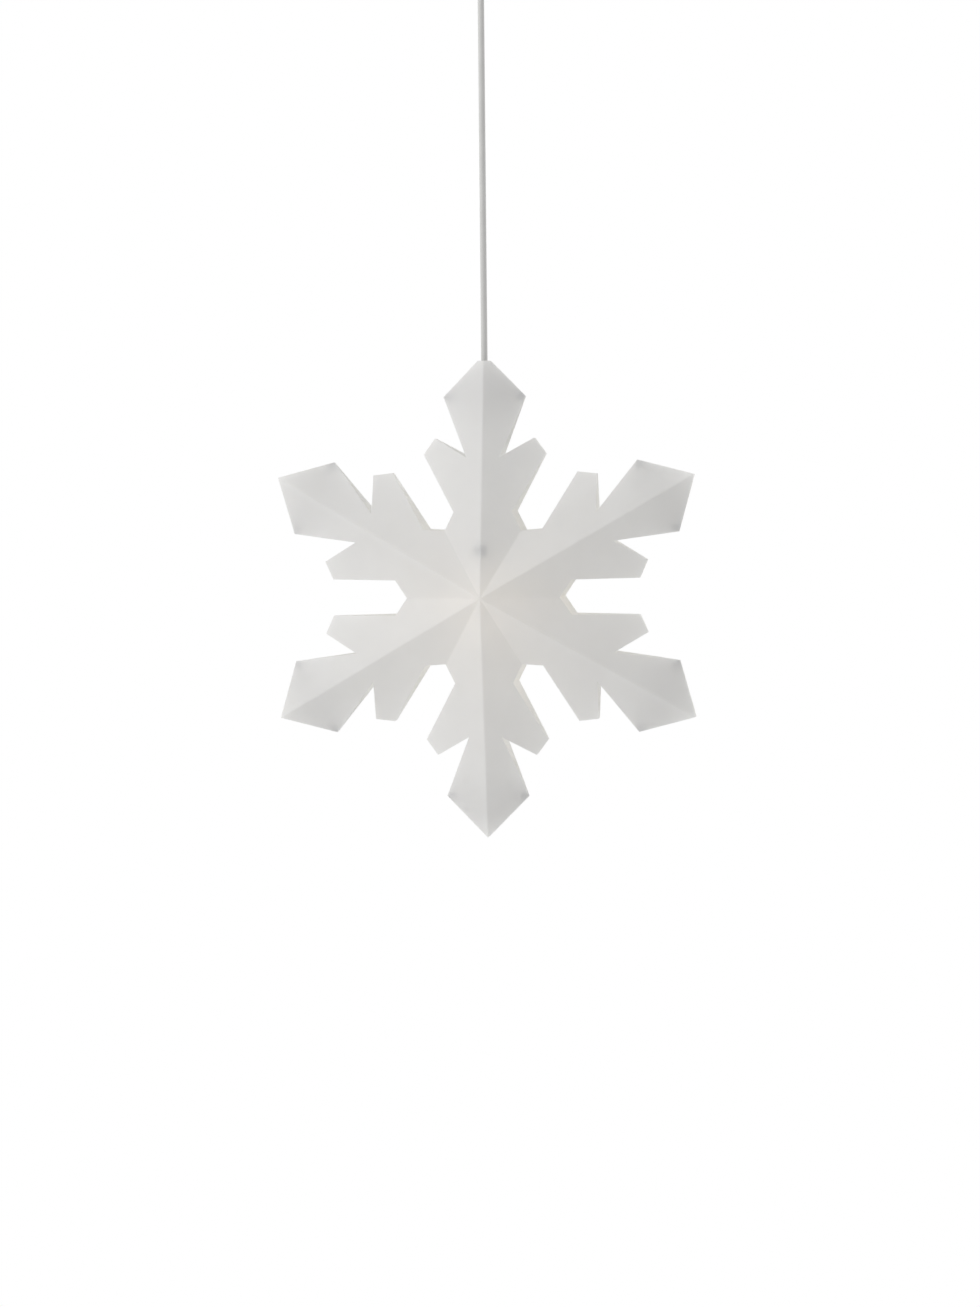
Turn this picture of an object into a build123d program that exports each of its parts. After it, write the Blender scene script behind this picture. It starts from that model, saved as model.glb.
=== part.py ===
from build123d import *
from math import acos, atan2, cos, degrees, hypot, pi, radians, sin, sqrt, tan
import os

# Folded snowflake pendant, in millimetres. The ceiling is the plane z = 0 and everything hangs below it.
# The lamp's cord lies on the Z axis and the front sheet faces -Y.

# Folded sheets: the corners of one facet, measured along the arm and sideways from it
arms = 6
sheet = 0.5
ridge_angle = 11.2
arm_length = 223.4
corner_along = 184.9
corner_side = 38.4
notch_along = 129.0
notch_side = 15.2
fork_tip_along = 146.6
fork_tip_side = 46.0
fork_heel_along = 132.0
fork_heel_side = 56.8
waist_along = 78.9
waist_side = 26.8
valley_end = 70.8
tip_opening = 11.0
seam_gap = 0.3

# Joining tabs in the arm corners, folded from the same foil
tab_length = 6.0
tab_width = 6.4
tab_inset = 1.6
tab_fold = 0.5

# Clearances
seat = 0.3
slip = 0.1

# Cord and wires
cord_radius = 3.0
cord_drop = 464.0
wire_radius = 1.1
wire_spread = 1.4

# Ceiling strap
strap_thickness = 1.5
strap_width = 16.0
slot_spacing = 50.0
slot_length = 12.0
slot_width = 5.0
ear_drop = 16.0
tongue_width = 20.0
tongue_reach = 29.0

# Ceiling cup
cup_radius = 45.0
cup_height = 50.0
cup_wall = 2.0
cup_corner = 14.0
cup_rim_gap = 0.5
side_screw_drop = 10.0
screw_radius = 1.5
screw_head_radius = 2.8
screw_head_height = 1.8
screw_slot = 0.8
small_slot = 0.6

# Threaded cord grips, in the cup and on the lamp holder
neck_radius = 4.9
cup_neck_length = 8.5
cup_grip_radius = 7.0
cup_grip_length = 15.5
nut_width = 14.0
nut_height = 3.0
holder_grip_radius = 6.5
holder_grip_length = 16.0
holder_neck_length = 6.0
grip_edge = 1.5
sheath_margin = 1.5
sheath_rise = 4.0

# Terminal block
block_width = 20.0
block_depth = 16.0
block_height = 13.0
block_start = 10.0
clamp_pitch = 11.0
clamp_width = 5.0
clamp_height = 6.0
clamp_inset = 1.0
clamp_bore = 1.6
clamp_drop = 6.0
clamp_screw_radius = 1.2
clamp_screw_head = 1.7
clamp_screw_spacing = 7.0
clamp_head_inset = 0.5
clamp_head_height = 1.5
wire_reach = 4.0
wire_back = 1.5
wire_knee = 0.42

# Lamp holder for a 14 mm screw cap
holder_radius = 14.0
holder_bore = 11.3
holder_height = 29.0
mouth_height = 34.0
thread_radius = 13.0
thread_pitch = 1.5
thread_depth = 0.35
flange_radius = 17.0
flange_height = 2.0
flange_start = 10.0
neck_wall = 1.1
neck_height = 6.0
ledge_height = 2.0
insert_height = 11.4
insert_recess = 3.8
insert_recess_radius = 5.0
shell_wall = 0.4
shell_length = 16.0
cap_height = 15.0
cap_wall = 1.8
cap_roof = 2.0
ring_height = 6.0
wire_hole_offset = 5.5
insert_screw_offset = 5.0
insert_screw_radius = 1.25
insert_screw_head = 2.0
insert_screw_rise = 1.2
insert_proud = 1.0
rivet_radius = 0.9
ring_cuts = 24
ring_cut_radius = 0.8
ring_cut_out = 0.3
ring_collar = 1.2
mouth_chamfer = 0.6
cap_bulge = 1.1
cap_margin = 1.5
cap_inner_step = 1.4
cap_inner_rise = 1.0
wire_drop = 4.0

# Carrier of the sheets
carrier_thickness = 1.5
carrier_arm_width = 8.0
carrier_rim = 1.0
socket_radius = 4.0
socket_length = 7.0
stud_radius = 2.0
stud_length = 6.0
stud_pad = 10.0
stud_pad_least = 1.5

# Bulb with a 14 mm screw cap
globe_radius = 22.5
globe_wall = 1.0
globe_cut = 14.0
bulb_cap_radius = 6.95
bulb_cap_wall = 0.4
bulb_cap_start = 31.8
bulb_cap_length = 18.2
bulb_shoulder_radius = 8.2
collar_wall = 1.2
collar_neck_length = 4.0
insulator_height = 3.0
tip_radius = 2.5
tip_height = 1.2
board_thickness = 1.6
board_radius = 14.0
chip_count = 8
chip_circle = 9.5
chip_size = 2.8
chip_height = 0.7
driver_width = 11.0
driver_length = 22.0
driver_part_width = 6.0
driver_part_depth = 3.0
driver_part_length = 8.0
driver_part_start = 2.0
collar_flare = 2.5
collar_step = 1.5
collar_waist = 6.0
collar_throat = 3.0
board_rest = 1.0


def save(piece, label):
    piece.part.label = label
    export_step(piece.part, f"parts/{label}.step")


def ring(outer, inner, low, high):
    """Tube on the Z axis, from one height to another."""
    with BuildPart() as tube:
        with BuildSketch(Plane.XY.offset(low)):
            Circle(outer)
            Circle(inner, mode=Mode.SUBTRACT)
        extrude(amount=high - low)
    return tube.part


def smooth_path(points):
    """Straight runs through the points, joined by the largest tangent arcs that the runs allow."""
    corners = [Vector(*point) for point in points]
    radii = []
    for before, here, after in zip(corners, corners[1:], corners[2:]):
        turn = radians((here - before).get_angle(after - here))
        shorter = min((here - before).length, (after - here).length)
        radii.append(0.45 * shorter / tan(turn / 2))
    return corners, radii


def wire_tube(name, points, radius):
    """Round tube along a smooth path."""
    corners, radii = smooth_path(points)
    print(name, "bend radii", [round(value, 1) for value in radii])
    with BuildPart() as tube:
        with BuildLine() as route:
            FilletPolyline(*corners, radius=radii)
        with BuildSketch(Plane(origin=route.line @ 0, z_dir=route.line % 0)):
            Circle(radius)
        sweep()
    length = sum(edge.length for edge in route.edges())
    print(name, "volume over section times length", round(tube.part.volume / (pi * radius**2 * length), 3))
    return tube.part


os.makedirs("parts", exist_ok=True)

# Heights that several pieces share
cup_floor = -cup_rim_gap - cup_height
pivot_height = cup_floor - cup_grip_length
flange_low = mouth_height + flange_start
carrier_low = flange_low - carrier_thickness
step_height = mouth_height + holder_height
cap_top = step_height + neck_height + cap_height
grip_top = cap_top + holder_grip_length
lamp_height = pivot_height - cord_drop - grip_top
cord_low = lamp_height + grip_top


def lamp_level(height):
    """Height above the middle of the snowflake, in the pendant's own frame."""
    return lamp_height + height


# Fall of the creases: a flat sheet keeps equal angles of 180/arms degrees between its creases when it folds
sector = pi / arms
ridge = radians(ridge_angle)
valley = atan2(sin(ridge), cos(ridge) * cos(sector)) + acos(
    cos(sector) / hypot(cos(ridge) * cos(sector), sin(ridge))
)
ridge_fall = tan(ridge)
side_fall = (tan(valley) - cos(sector) * ridge_fall) / sin(sector)
sheet_depth = sheet * hypot(1, hypot(ridge_fall, side_fall))
apex = ridge_fall * corner_along + side_fall * corner_side + seam_gap / 2 + sheet_depth
print("valley angle", round(degrees(valley), 2))
print("apex height", round(apex, 2), "lamp height", round(lamp_height, 2))


def inner_height(along, side):
    """Distance from the middle plane to the inside of a sheet."""
    return apex - sheet_depth - ridge_fall * along - side_fall * side


def facet_plane(depth, facing=-1):
    """Plane of the top arm's right-hand facet, sunk by a depth: -1 faces the front, 1 the back."""
    return Plane(origin=(0, facing * (apex - depth), lamp_height), z_dir=(side_fall, facing, ridge_fall))


flake_plane = Plane(origin=(0, 0, lamp_height), x_dir=(1, 0, 0), z_dir=(0, -1, 0))
flake_axis = Axis((0, 0, lamp_height), (0, -1, 0))
facet_outline = [
    (0, 0),
    (0, arm_length),
    (corner_side, corner_along),
    (notch_side, notch_along),
    (fork_tip_side, fork_tip_along),
    (fork_heel_side, fork_heel_along),
    (waist_side, waist_along),
    (valley_end * sin(sector), valley_end * cos(sector)),
]


# Folded sheets: one facet, its mirror image, and the pair turned round the middle for each arm
with BuildPart() as folded_arm:
    with BuildSketch(flake_plane):
        with BuildLine():
            Polyline(*facet_outline, close=True)
        make_face()
    extrude(amount=apex + sheet)
    split(bisect_by=facet_plane(0), keep=Keep.BOTTOM)
    split(bisect_by=facet_plane(sheet_depth), keep=Keep.TOP)
    mirror(about=Plane.YZ)

# The top arm's point is cut off square, so that the cord comes out between the sheets
tip_cut = arm_length - (tip_opening / 2) * (arm_length - corner_along) / corner_side
with BuildPart() as front_shade:
    for arm in range(arms):
        add(folded_arm.part.rotate(flake_axis, 360 / arms * arm))
    with BuildSketch(flake_plane.offset(-apex)):
        with Locations((0, tip_cut)):
            Rectangle(2 * corner_side, arm_length, align=(Align.CENTER, Align.MIN))
    extrude(amount=2 * apex, mode=Mode.SUBTRACT)
save(front_shade, "front_shade")

with BuildPart() as back_shade:
    add(front_shade.part.mirror(Plane.XZ))
save(back_shade, "back_shade")


# Joining tabs: a folded strip of foil in each arm corner, glued to the back sheet. Its free leg lies
# behind the front sheet.
corner_plane = Plane(
    origin=(corner_side, 0, lamp_level(corner_along)),
    x_dir=(-ridge_fall, 0, side_fall),
    z_dir=(0, -1, 0),
)


def corner_wedge(start, front_depth, back_depth):
    """Space between the sheets at a corner, from a distance inside it, less a depth at each sheet."""
    with BuildPart() as wedge:
        with BuildSketch(corner_plane):
            with Locations((tab_length / 3, start)):
                Rectangle(tab_length, tab_inset + tab_width - start, align=(Align.CENTER, Align.MIN))
        extrude(amount=apex, both=True)
        split(bisect_by=facet_plane(sheet_depth + front_depth), keep=Keep.BOTTOM)
        split(bisect_by=facet_plane(sheet_depth + back_depth, 1), keep=Keep.BOTTOM)
    return wedge.part


with BuildPart() as corner_pair:
    add(corner_wedge(tab_inset, seat, 0))
    add(corner_wedge(tab_inset + tab_fold, seat + sheet_depth, sheet_depth), mode=Mode.SUBTRACT)
    mirror(about=Plane.YZ)
with BuildPart() as corner_tabs:
    for arm in range(arms):
        add(corner_pair.part.rotate(flake_axis, 360 / arms * arm))
save(corner_tabs, "corner_tabs")


# Press studs: a pad with a roof that fits under the top arm's crease, and a round stud that points inwards
stud_level = carrier_low + carrier_thickness / 2
pad_base = inner_height(stud_level + stud_pad / 2, stud_pad / 2) - seat - stud_pad_least
pad_plane = Plane(origin=(0, 0, lamp_level(stud_level)), x_dir=(1, 0, 0), z_dir=(0, -1, 0))
with BuildPart() as front_stud:
    with BuildSketch(pad_plane.offset(pad_base)):
        with Locations((stud_pad / 4, 0)):
            Rectangle(stud_pad / 2, stud_pad)
    extrude(amount=apex)
    split(bisect_by=facet_plane(sheet_depth + seat), keep=Keep.BOTTOM)
    mirror(about=Plane.YZ)
    with BuildSketch(pad_plane.offset(pad_base)):
        Circle(stud_radius)
    extrude(amount=-stud_length)
save(front_stud, "front_stud")

with BuildPart() as back_stud:
    add(front_stud.part.mirror(Plane.XZ))
save(back_stud, "back_stud")

# Carrier: a flat ring on the lamp holder with an arm and a socket to the front and to the back
socket_face = pad_base - seat
with BuildPart() as shade_carrier:
    with BuildSketch(Plane.XY.offset(lamp_level(carrier_low))):
        Circle(flange_radius + carrier_rim)
        Rectangle(carrier_arm_width, 2 * (socket_face - socket_length / 2))
        Circle(thread_radius + seat, mode=Mode.SUBTRACT)
    extrude(amount=carrier_thickness)
    for side in (-1, 1):
        with BuildSketch(pad_plane.offset(side * socket_face)):
            Circle(socket_radius)
        extrude(amount=-side * socket_length)
    for side in (-1, 1):
        with BuildSketch(pad_plane.offset(side * socket_face)):
            Circle(stud_radius + slip)
        extrude(amount=-side * socket_length, mode=Mode.SUBTRACT)
save(shade_carrier, "shade_carrier")

# Lamp holder body: bore with a ledge, outer thread at the mouth, a flange and a neck for the cap
insert_low = step_height - insert_height + insert_proud
ledge_inner = bulb_cap_radius + shell_wall + 2 * slip + seat
neck_outer = holder_bore + neck_wall
with BuildPart() as holder_body:
    add(ring(thread_radius, holder_bore, lamp_level(mouth_height), lamp_level(flange_low)))
    add(ring(flange_radius, holder_bore, lamp_level(flange_low), lamp_level(flange_low + flange_height)))
    add(ring(holder_radius, holder_bore, lamp_level(flange_low), lamp_level(step_height)))
    add(ring(neck_outer, holder_bore, lamp_level(step_height), lamp_level(step_height + neck_height)))
    add(ring(holder_bore, ledge_inner, lamp_level(insert_low - ledge_height), lamp_level(insert_low)))
    turns = int((carrier_low - mouth_height - 2 * mouth_chamfer) / thread_pitch)
    for turn in range(turns):
        groove = lamp_level(mouth_height + 2 * mouth_chamfer + turn * thread_pitch)
        add(
            ring(flange_radius, thread_radius - thread_depth, groove, groove + thread_pitch / 2),
            mode=Mode.SUBTRACT,
        )
    chamfer(edges().group_by(Axis.Z)[0].sort_by(SortBy.RADIUS)[-1], mouth_chamfer)
save(holder_body, "holder_body")

# Shade ring: the nut on the holder's thread that clamps the carrier against the flange
with BuildPart() as shade_ring:
    add(
        ring(
            flange_radius,
            thread_radius + slip,
            lamp_level(carrier_low - ring_height),
            lamp_level(carrier_low),
        )
    )
    with BuildSketch(Plane.XY.offset(lamp_level(carrier_low - ring_height))):
        with PolarLocations(flange_radius + ring_cut_out, ring_cuts):
            Circle(ring_cut_radius)
    extrude(amount=ring_height - ring_collar, mode=Mode.SUBTRACT)
save(shade_ring, "shade_ring")

# Lamp holder cap: a bell over the neck, with a hole in its roof for the cord grip
cap_skirt = neck_outer + 2 * slip
roof_radius = holder_grip_radius + cap_margin
skirt_level = lamp_level(step_height)
dome_level = lamp_level(step_height + neck_height)
roof_level = lamp_level(cap_top)
with BuildPart() as holder_cap:
    with BuildSketch(Plane.XZ):
        with BuildLine():
            ThreePointArc(
                (holder_radius, dome_level),
                ((holder_radius + roof_radius) / 2 + cap_bulge, (dome_level + roof_level) / 2 + cap_bulge),
                (roof_radius, roof_level),
            )
            Polyline(
                (roof_radius, roof_level),
                (neck_radius + slip, roof_level),
                (neck_radius + slip, roof_level - cap_roof),
                (roof_radius - cap_wall, roof_level - cap_roof),
                (cap_skirt - cap_inner_step, dome_level + cap_inner_rise),
                (cap_skirt, dome_level + slip),
                (cap_skirt, skirt_level),
                (holder_radius, skirt_level),
                (holder_radius, dome_level),
            )
        make_face()
    revolve(axis=Axis.Z)
save(holder_cap, "holder_cap")

# Contact insert: a round block on the ledge, with a recess below, wire holes and screw holes above
insert_top = insert_low + insert_height
with BuildPart() as contact_insert:
    with BuildSketch(Plane.XY.offset(lamp_level(insert_low))):
        Circle(holder_bore - seat)
    extrude(amount=insert_height)
    with BuildSketch(Plane.XY.offset(lamp_level(insert_low))):
        Circle(insert_recess_radius)
    extrude(amount=insert_recess, mode=Mode.SUBTRACT)
    with BuildSketch(Plane.XY.offset(lamp_level(insert_top))):
        with Locations((-wire_hole_offset, 0), (wire_hole_offset, 0)):
            Circle(wire_radius + slip)
    extrude(amount=-insert_height / 2, mode=Mode.SUBTRACT)
    with BuildSketch(Plane.XY.offset(lamp_level(insert_top))):
        with Locations((-wire_hole_offset, insert_screw_offset), (wire_hole_offset, insert_screw_offset)):
            Circle(insert_screw_radius + slip)
    extrude(amount=-insert_height / 2, mode=Mode.SUBTRACT)
    with BuildSketch(Plane.XY.offset(lamp_level(insert_top))):
        Circle(rivet_radius + slip)
    extrude(amount=-insert_height, mode=Mode.SUBTRACT)
save(contact_insert, "contact_insert")

with BuildPart() as insert_screws:
    places = [(-wire_hole_offset, insert_screw_offset), (wire_hole_offset, insert_screw_offset)]
    with BuildSketch(Plane.XY.offset(lamp_level(insert_top))):
        with Locations(*places):
            Circle(insert_screw_radius)
    extrude(amount=-insert_height / 2 + seat)
    with BuildSketch(Plane.XY.offset(lamp_level(insert_top))):
        with Locations(*places):
            Circle(insert_screw_head)
    extrude(amount=insert_screw_rise)
    with BuildSketch(Plane.XY.offset(lamp_level(insert_top + insert_screw_rise))):
        with Locations(*places):
            Rectangle(2 * insert_screw_head, small_slot)
    extrude(amount=-insert_screw_rise / 2, mode=Mode.SUBTRACT)
save(insert_screws, "insert_screws")

# Centre contact: a rivet through the insert with a broad head just above the bulb's tip
bulb_cap_top = bulb_cap_start + bulb_cap_length
bulb_top = bulb_cap_top + insulator_height + tip_height
with BuildPart() as centre_contact:
    with BuildSketch(Plane.XY.offset(lamp_level(bulb_top + seat))):
        Circle(tip_radius)
    extrude(amount=insert_low + insert_recess - bulb_top - seat)
    with BuildSketch(Plane.XY.offset(lamp_level(insert_low + insert_recess))):
        Circle(rivet_radius)
    extrude(amount=insert_height - insert_recess)
save(centre_contact, "centre_contact")

# Threaded shell: the brass sleeve that the bulb screws into, with a rim under the insert
shell_inner = bulb_cap_radius + 2 * slip
shell_low = insert_low - shell_length
with BuildPart() as threaded_shell:
    add(ring(shell_inner + shell_wall, shell_inner, lamp_level(shell_low), lamp_level(insert_low)))
    add(
        ring(
            shell_inner + shell_wall,
            insert_recess_radius,
            lamp_level(insert_low - shell_wall),
            lamp_level(insert_low),
        )
    )
save(threaded_shell, "threaded_shell")


# Cord grips: a round body with a threaded neck, a bore for the cord and a side hole for the screw
def side_plane(height):
    """Plane across the X axis at a height, for a screw that comes in from the right."""
    return Plane(origin=(0, 0, height), x_dir=(0, 1, 0), z_dir=(1, 0, 0))


grip_bore = cord_radius + slip / 2
holder_screw_level = lamp_level(cap_top + holder_grip_length / 2)
with BuildPart() as holder_cord_grip:
    add(ring(neck_radius, grip_bore, lamp_level(cap_top - holder_neck_length), lamp_level(cap_top)))
    add(ring(holder_grip_radius, grip_bore, lamp_level(cap_top), lamp_level(grip_top)))
    chamfer(edges().group_by(Axis.Z)[-1].sort_by(SortBy.RADIUS)[-1], grip_edge)
    with BuildSketch(side_plane(holder_screw_level)):
        Circle(screw_radius + slip)
    extrude(amount=2 * holder_grip_radius, mode=Mode.SUBTRACT)
save(holder_cord_grip, "holder_cord_grip")


def grip_screw(height, reach):
    """Grub screw with a slot, from just outside the cord to just inside the grip's face."""
    with BuildPart() as screw:
        with BuildSketch(side_plane(height).offset(cord_radius + slip)):
            Circle(screw_radius)
        extrude(amount=reach - cord_radius - slip)
        with BuildSketch(side_plane(height).offset(reach)):
            Rectangle(small_slot, 2 * screw_radius)
        extrude(amount=-small_slot, mode=Mode.SUBTRACT)
    return screw


holder_grip_screw = grip_screw(holder_screw_level, holder_grip_radius - slip)
save(holder_grip_screw, "holder_grip_screw")

# Sheathed cord end and its two wires inside the lamp holder
wire_start = lamp_level(cap_top - holder_neck_length - sheath_margin)
with BuildPart() as cord_end_holder:
    with BuildSketch(Plane.XY.offset(wire_start)):
        Circle(cord_radius)
    extrude(amount=cord_low - wire_start)
save(cord_end_holder, "cord_end_holder")

wire_end = lamp_level(insert_top - insert_height / 3)
with BuildPart() as holder_wires:
    for side in (-1, 1):
        route = [
            (side * wire_spread, 0, wire_start - seat),
            (side * (wire_spread + seat), 0, wire_start - wire_drop),
            (side * wire_hole_offset, 0, lamp_level(insert_top + wire_drop - insert_proud)),
            (side * wire_hole_offset, 0, wire_end),
        ]
        add(wire_tube("holder wire", route, wire_radius))
save(holder_wires, "holder_wires")

# Bulb: an opal globe, a hollow collar with the light board and the driver, and the screw cap
globe_rim = sqrt(globe_radius**2 - globe_cut**2)
globe_inner = globe_radius - globe_wall
with BuildPart() as bulb_globe:
    with BuildSketch(Plane.XZ):
        with BuildLine():
            rim_inner = (sqrt(globe_inner**2 - globe_cut**2), lamp_level(globe_cut))
            Line((0, lamp_level(-globe_radius)), (0, lamp_level(-globe_inner)))
            ThreePointArc((0, lamp_level(-globe_inner)), (globe_inner, lamp_level(0)), rim_inner)
            Line(rim_inner, (globe_rim, lamp_level(globe_cut)))
            ThreePointArc(
                (globe_rim, lamp_level(globe_cut)),
                (globe_radius, lamp_level(0)),
                (0, lamp_level(-globe_radius)),
            )
        make_face()
    revolve(axis=Axis.Z)
save(bulb_globe, "bulb_globe")

collar_neck = bulb_cap_radius - bulb_cap_wall - slip / 2
board_low = globe_cut - board_thickness
with BuildPart() as bulb_collar:
    with BuildSketch(Plane.XZ):
        with BuildLine():
            Polyline(
                (globe_rim, lamp_level(globe_cut)),
                (bulb_shoulder_radius + collar_flare, lamp_level(bulb_cap_start - collar_waist)),
                (bulb_shoulder_radius, lamp_level(bulb_cap_start - collar_step)),
                (bulb_shoulder_radius, lamp_level(bulb_cap_start)),
                (collar_neck, lamp_level(bulb_cap_start)),
                (collar_neck, lamp_level(bulb_cap_start + collar_neck_length)),
                (collar_neck - collar_wall / 2, lamp_level(bulb_cap_start + collar_neck_length)),
                (collar_neck - collar_wall / 2, lamp_level(bulb_cap_start - collar_throat)),
                (
                    bulb_shoulder_radius + collar_flare - collar_wall,
                    lamp_level(bulb_cap_start - collar_waist),
                ),
                (board_radius - board_rest, lamp_level(globe_cut + board_thickness)),
                (board_radius - board_rest, lamp_level(globe_cut)),
                close=True,
            )
        make_face()
    revolve(axis=Axis.Z)
save(bulb_collar, "bulb_collar")

with BuildPart() as bulb_light_board:
    with BuildSketch(Plane.XY.offset(lamp_level(board_low))):
        Circle(board_radius)
    extrude(amount=board_thickness)
    with BuildSketch(Plane.XY.offset(lamp_level(board_low))):
        with PolarLocations(chip_circle, chip_count):
            Rectangle(chip_size, chip_size)
    extrude(amount=-chip_height)
save(bulb_light_board, "bulb_light_board")

driver_low = globe_cut + seat
with BuildPart() as bulb_driver:
    with BuildSketch(Plane.XY.offset(lamp_level(driver_low))):
        Rectangle(driver_width, board_thickness)
    extrude(amount=driver_length)
    with BuildSketch(Plane.XY.offset(lamp_level(driver_low + driver_part_start))):
        with Locations((0, board_thickness / 2)):
            Rectangle(driver_part_width, driver_part_depth, align=(Align.CENTER, Align.MIN))
    extrude(amount=driver_part_length)
save(bulb_driver, "bulb_driver")

with BuildPart() as bulb_screw_cap:
    add(
        ring(
            bulb_cap_radius,
            bulb_cap_radius - bulb_cap_wall,
            lamp_level(bulb_cap_start),
            lamp_level(bulb_cap_top),
        )
    )
save(bulb_screw_cap, "bulb_screw_cap")

with BuildPart() as bulb_insulator:
    with BuildSketch(Plane.XY.offset(lamp_level(bulb_cap_top))):
        Circle(bulb_cap_radius)
    with BuildSketch(Plane.XY.offset(lamp_level(bulb_cap_top + insulator_height))):
        Circle(tip_radius + board_rest)
    loft()
save(bulb_insulator, "bulb_insulator")

with BuildPart() as bulb_tip:
    with BuildSketch(Plane.XY.offset(lamp_level(bulb_top - tip_height))):
        Circle(tip_radius)
    extrude(amount=tip_height)
    fillet(edges().group_by(Axis.Z)[-1], tip_height / 2)
save(bulb_tip, "bulb_tip")

# Free cord, with a ball at its upper end that stands for its bend in the grip's mouth
ball_gap = cord_radius + seat
with BuildPart() as cord:
    with BuildSketch(Plane.XY.offset(cord_low)):
        Circle(cord_radius)
    extrude(amount=pivot_height - ball_gap - cord_low)
save(cord, "cord")

ball_plane = Plane(origin=(0, 0, pivot_height), x_dir=(1, 0, 0), z_dir=(0, -1, 0))
with BuildPart() as cord_bend:
    with BuildSketch(ball_plane):
        with BuildLine():
            CenterArc((0, 0), cord_radius, -90, 180)
            Line((0, -cord_radius), (0, cord_radius))
        make_face()
    revolve(axis=Axis.Z)
save(cord_bend, "cord_bend")

# Ceiling cup: a turned cup with a rounded lower edge, a hole in its floor and one in each side
with BuildPart() as ceiling_cup:
    with BuildSketch(Plane.XY.offset(cup_floor)):
        Circle(cup_radius)
    extrude(amount=cup_height)
    fillet(edges().group_by(Axis.Z)[0], cup_corner)
    offset(amount=-cup_wall, openings=faces().sort_by(Axis.Z)[-1])
    with BuildSketch(Plane.XY.offset(cup_floor)):
        Circle(neck_radius + slip)
    extrude(amount=2 * cup_wall, mode=Mode.SUBTRACT)
    with BuildSketch(side_plane(-side_screw_drop)):
        Circle(screw_radius + 2 * slip)
    extrude(amount=2 * cup_radius, both=True, mode=Mode.SUBTRACT)
save(ceiling_cup, "ceiling_cup")

# Ceiling strap: slots for the ceiling screws, an ear at each end and a tongue for the terminal block
ear_face = sqrt((cup_radius - cup_wall) ** 2 - (strap_width / 2) ** 2) - seat
block_middle = block_start + block_depth / 2
with BuildPart() as mounting_strap:
    with BuildSketch(Plane.XY):
        Rectangle(2 * ear_face, strap_width)
        with Locations((0, strap_width / 2)):
            Rectangle(tongue_width, tongue_reach - strap_width / 2, align=(Align.CENTER, Align.MIN))
        with Locations((-slot_spacing / 2, 0), (slot_spacing / 2, 0)):
            SlotOverall(slot_length, slot_width, mode=Mode.SUBTRACT)
        with Locations((0, block_middle)):
            Circle(screw_radius + slip, mode=Mode.SUBTRACT)
    extrude(amount=-strap_thickness)
    for side in (-1, 1):
        with BuildSketch(Plane.XY):
            with Locations((side * (ear_face - strap_thickness / 2), 0)):
                Rectangle(strap_thickness, strap_width)
        extrude(amount=-ear_drop)
    with BuildSketch(side_plane(-side_screw_drop)):
        Circle(screw_radius + slip)
    extrude(amount=cup_radius, both=True, mode=Mode.SUBTRACT)
save(mounting_strap, "mounting_strap")

with BuildPart() as cup_side_screws:
    for side in (-1, 1):
        with BuildSketch(side_plane(-side_screw_drop).offset(side * (cup_radius + slip))):
            Circle(screw_head_radius)
        extrude(amount=side * screw_head_height)
        with BuildSketch(side_plane(-side_screw_drop).offset(side * (cup_radius + slip))):
            Circle(screw_radius)
        extrude(amount=-side * (cup_radius + slip - ear_face + 2 * strap_thickness))
        head_face = side * (cup_radius + slip + screw_head_height)
        with BuildSketch(side_plane(-side_screw_drop).offset(head_face)):
            Rectangle(screw_slot, 2 * screw_head_radius)
        extrude(amount=-side * screw_head_height / 2, mode=Mode.SUBTRACT)
save(cup_side_screws, "cup_side_screws")

# Cord grip of the cup: its mouth is wider, so that the cord can bend there
mouth_top = pivot_height + ball_gap
cup_screw_level = cup_floor - cup_grip_length / 2
with BuildPart() as cup_cord_grip:
    add(ring(cup_grip_radius, grip_bore, pivot_height, cup_floor))
    add(ring(neck_radius, grip_bore, cup_floor, cup_floor + cup_neck_length))
    fillet(edges().group_by(Axis.Z)[0].sort_by(SortBy.RADIUS)[-1], grip_edge)
    with BuildSketch(Plane.XY.offset(pivot_height)):
        Circle(cord_radius + seat)
    extrude(amount=ball_gap, mode=Mode.SUBTRACT)
    with BuildSketch(side_plane(cup_screw_level)):
        Circle(screw_radius + slip)
    extrude(amount=2 * cup_grip_radius, mode=Mode.SUBTRACT)
save(cup_cord_grip, "cup_cord_grip")

cup_grip_screw = grip_screw(cup_screw_level, cup_grip_radius - slip)
save(cup_grip_screw, "cup_grip_screw")

with BuildPart() as cup_grip_nut:
    with BuildSketch(Plane.XY.offset(cup_floor + cup_wall)):
        RegularPolygon(nut_width / 2, 6, major_radius=False)
        Circle(neck_radius + slip, mode=Mode.SUBTRACT)
    extrude(amount=nut_height)
save(cup_grip_nut, "cup_grip_nut")

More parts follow.
